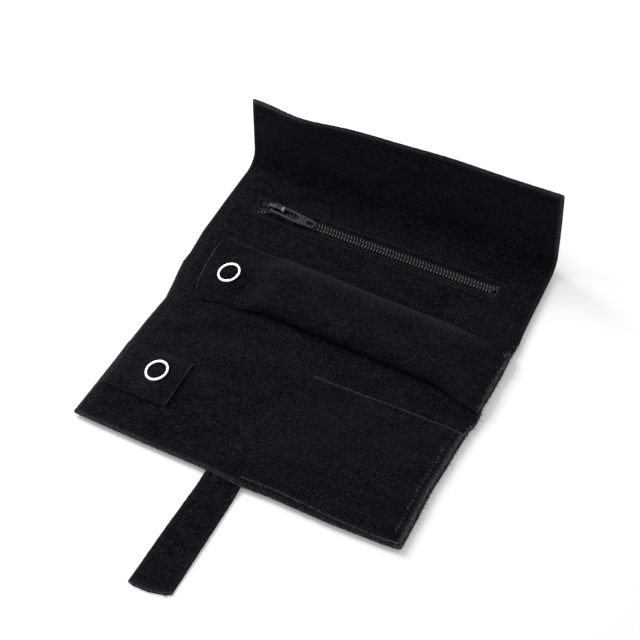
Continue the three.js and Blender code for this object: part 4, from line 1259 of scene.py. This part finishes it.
def strap_section(s):
    """One closed line round the strap, at s along the cloth; its end is cut askew."""
    root = ease(s, -8, 1)
    thick = strap_thick + (strap_tip_thick - strap_thick) * ease(-s, 36, 54)
    end = max(0, strap_corner - (s - strap_end))
    rounding = strap_corner - math.sqrt(max(strap_corner ** 2 - end ** 2, 0))
    low = 0.02 + 1.1 * root + 0.06 * (1 + math.sin(0.16 * s))
    low_x, high_x = along(strap_left_at, s), along(strap_right_at, s)
    half, centre = (high_x - low_x) / 2, (high_x + low_x) / 2
    section = []
    for c, t, across, up in corners_out(56, 0.25):
        x = centre + (half - rounding) * across
        z = low + thick / 2 + thick / 2 * up
        if abs(t) < 1e-6:
            x -= math.copysign(strap_groove, c)
        x += ragged(s, 6.0, 0.12) * (abs(t) < 0.2)
        curl = ease(across, 0.5, 1) * ease(-s, 52, 58) * 0.05
        askew = 1.1 * across - 1.3 * (1 - across * across)
        slant = ease(-s, 44, 58) * askew + ragged(x, 7, 0.35) * (s < strap_end + 0.6)
        edge = 0.75 * (s < strap_end + 0.3) * (t > -0.2) + 0.35 * (abs(t) < 0.2)
        edge += (t > 0) * (0.3 * (1 - ease(s - strap_end, 0.5, 2.4)) + 0.14 * ease(abs(across), 0.7, 0.97))
        section.append((x, s + slant, z + curl, min(1.0, edge)))
    return section


for name, low, high, width, node, bodies, start, end in (
        ("strap_band_root", -18, 2.5, 16.7, "strap_root", ("lower", "strap_root"), 1.5, -9),
        ("strap_band_tip", strap_end, -18, 17.6, "strap_tip", ("strap_root", "strap_tip"), -27, -45)):
    stations = list(np.linspace(high, low, 24))
    if low == strap_end:
        stations = stations[:-1] + [low + d for d in (0.9, 0.5, 0.2, 0.03)]
    band = make_piece(name, *loft([strap_section(s) for s in stations]), cover_velvet)
    settle(band, 70)
    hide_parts(node)
    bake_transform(band)


# Loose threads: pale fibres that work out of the cut edges, most of them where the roll's raw end is caught
# in the right seam, some at the near corners, the strap's end and both ends of the zip's window.
fibre = thread_material("fibre", (0.035, 0.035, 0.04), (0.13, 0.13, 0.14))
chance = np.random.default_rng(11)


def loose_fibres(count, root, reach, length, curl, radius):
    """Fibres from root(share), a point on an edge, along reach and a little astray, bending as they go."""
    parts = []
    for share in np.sort(chance.uniform(0, 1, count)):
        here = np.array(root(share), float)
        heading = np.array(reach, float) * chance.uniform(0.4, 1.2) + chance.normal(0, 0.3, 3) * (1, 1, 0.4)
        bend = chance.normal(0, curl, 3) * (1, 1, 0.3)
        size = length * chance.uniform(0.5, 1.3)
        path = [here + size * t * heading + size * t * t * bend for t in (0, 0.33, 0.66, 1)]
        parts.append((here[1], tube([(p[0], p[1], max(p[2], 0.2)) for p in path],
                                    [radius, radius, 0.8 * radius, 0.4 * radius], 5)))
    return parts


def on_right_seam(inset, low, high, lowest, highest):
    def root(share):
        s = low + (high - low) * share
        return along(right_edge_at, s) - chance.uniform(*inset), s, chance.uniform(lowest, highest)
    return root


def on_bottom_seam(low, high):
    return lambda t: (low + (high - low) * t, along(bottom_edge_at, low + (high - low) * t) + 0.2,
                      chance.uniform(2.0, 3.2))


seam_fibres = []
for count, seam, *way in (
        (170, ((-0.3, 0.6), 4, 62, 2.1, 3.2), (0.25, 0.8, 0), 1.6, 0.3, 0.11),
        (190, ((-0.3, 0.8), 60, 114, 2.1, 3.4), (0.3, 0.9, 0.05), 1.9, 0.35, 0.12),
        (110, ((-0.3, 0.3), 4, 114, 2.1, 3.2), (0.6, 0.1, 0.05), 0.9, 0.4, 0.1),
        (120, ((0.2, 2.0), 74, 107, 4.7, 5.0), (0.1, 0.8, 0), 2.0, 0.3, 0.1),
        (70, ((4.4, 5.0), 4, 60, 4.2, 4.3), (0.1, 0.5, 0.05), 0.8, 0.4, 0.09),
        (40, ((0, 2.5), -0.6, 2.5, 3.0, 3.5), (0.1, -0.3, 0.1), 1.2, 0.5, 0.11)):
    seam_fibres += loose_fibres(count, on_right_seam(*seam), *way)
seam_fibres += loose_fibres(40, on_bottom_seam(-74, -56), (-0.3, -0.4, 0.05), 0.9, 0.5, 0.1)
for strip in ("lower", "lower_fold", "upper_fold"):
    piece = make_piece(f"loose_threads_{strip}", *join(seam_fibres, *strip_spans[strip]), fibre)
    bend_across(piece, strip)
window_fibres = loose_fibres(
    90, lambda t: (window_left + chance.uniform(-2.2, 2.2), window_low - 1.4 + 9 * t, 3.72),
    (0.1, 0, 0.25), 0.9, 1.2, 0.07)
strap_fibres = loose_fibres(
    14, lambda t: (-12.2 + 16.6 * t, strap_end - 0.6 + 1.4 * (t - 0.5), chance.uniform(0.3, 0.7)),
    (0, -0.6, 0), 0.7, 0.3, 0.08)
window_fibres += loose_fibres(
    30, lambda t: (window_right + chance.uniform(-0.3, 0.4), window_low + 0.4 + 5.6 * t, 3.72),
    (0, 0.5, 0.1), 1.0, 0.3, 0.08)
for name, fibres, body in (("window", window_fibres, "upper"), ("strap", strap_fibres, "strap_tip")):
    piece = make_piece(f"loose_threads_{name}", *join(fibres), fibre)
    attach(piece, body)


# The table and the light: a white table top, a broad soft lamp from the upper left and a pale surround.
# The table shows white to the camera and to the metal, and keeps the roll's own shadow.
def seen_rays(tree):
    """1 for the rays by which the camera, metal or glass sees a white surface, 0 for those that light."""
    rays = add_node(tree, "ShaderNodeLightPath")
    mirrored = combine(tree, "MAXIMUM", rays.outputs["Is Glossy Ray"], rays.outputs["Is Transmission Ray"])
    return combine(tree, "MAXIMUM", rays.outputs["Is Camera Ray"], mirrored)


def table_material():
    material, tree, shader = start_material("table_white")
    grain = noise(tree, millimetres(tree), 0.02)
    tree.links.new(mix_colours(tree, grain, (0.88, 0.88, 0.885, 1), (0.9, 0.9, 0.9, 1)),
                   shader.inputs["Base Color"])
    shader.inputs["Roughness"].default_value = 0.9
    shader.inputs["Specular IOR Level"].default_value = 0.0
    glow = add_node(tree, "ShaderNodeEmission", {"Color": (1, 1, 1, 1)})
    tree.links.new(combine(tree, "MULTIPLY", seen_rays(tree), 0.16), glow.inputs["Strength"])
    both = add_node(tree, "ShaderNodeAddShader", {0: shader.outputs[0], 1: glow.outputs[0]})
    tree.links.new(both.outputs[0], tree.nodes["Material Output"].inputs["Surface"])
    return material


table_mesh = bpy.data.meshes.new("table")
half_table = 3.0
table_corners = [(x * half_table, y * half_table, 0) for x, y in ((-1, -1), (1, -1), (1, 1), (-1, 1))]
table_mesh.from_pydata(table_corners, [], [(0, 1, 2, 3)])
table_mesh.materials.append(table_material())
table = bpy.data.objects.new("table", table_mesh)
bpy.context.collection.objects.link(table)

world = bpy.data.worlds.new("surround")
bpy.context.scene.world = world
world.use_nodes = True
sky = world.node_tree
sky.links.new(combine(sky, "ADD", combine(sky, "MULTIPLY", seen_rays(sky), 0.38), 0.62),
              sky.nodes["Background"].inputs["Strength"])
sky.nodes["Background"].inputs["Color"].default_value = (1, 1, 1, 1)


def soft_lamp(name, place, aim, size, watts):
    lamp = bpy.data.lights.new(name, "AREA")
    lamp.shape = "RECTANGLE"
    lamp.size, lamp.size_y = size
    lamp.energy = watts
    holder = bpy.data.objects.new(name, lamp)
    holder.location = place
    holder.rotation_euler = (Vector(aim) - Vector(place)).to_track_quat("-Z", "Y").to_euler()
    bpy.context.collection.objects.link(holder)


soft_lamp("window_lamp", (-0.53, 0.15, 0.58), (-0.02, 0.02, 0), (0.46, 0.46), 4.6)

camera_data = bpy.data.cameras.new("camera")
camera_data.sensor_width = 36.0
camera_data.lens = 106.5
camera_data.clip_end = 20
camera = bpy.data.objects.new("camera", camera_data)
camera_aim = Vector((-6.19, 39.67, 0)) * mm
camera_azimuth, camera_elevation, camera_distance = math.radians(26.256), math.radians(49.435), 0.81407
camera_way = Vector((math.sin(camera_azimuth) * math.cos(camera_elevation),
                     -math.cos(camera_azimuth) * math.cos(camera_elevation), math.sin(camera_elevation)))
camera.location = camera_aim + camera_distance * camera_way
camera.rotation_euler = (camera_aim - camera.location).to_track_quat("-Z", "Y").to_euler()
bpy.context.collection.objects.link(camera)
bpy.context.scene.camera = camera
bpy.context.scene.view_settings.view_transform = "Standard"
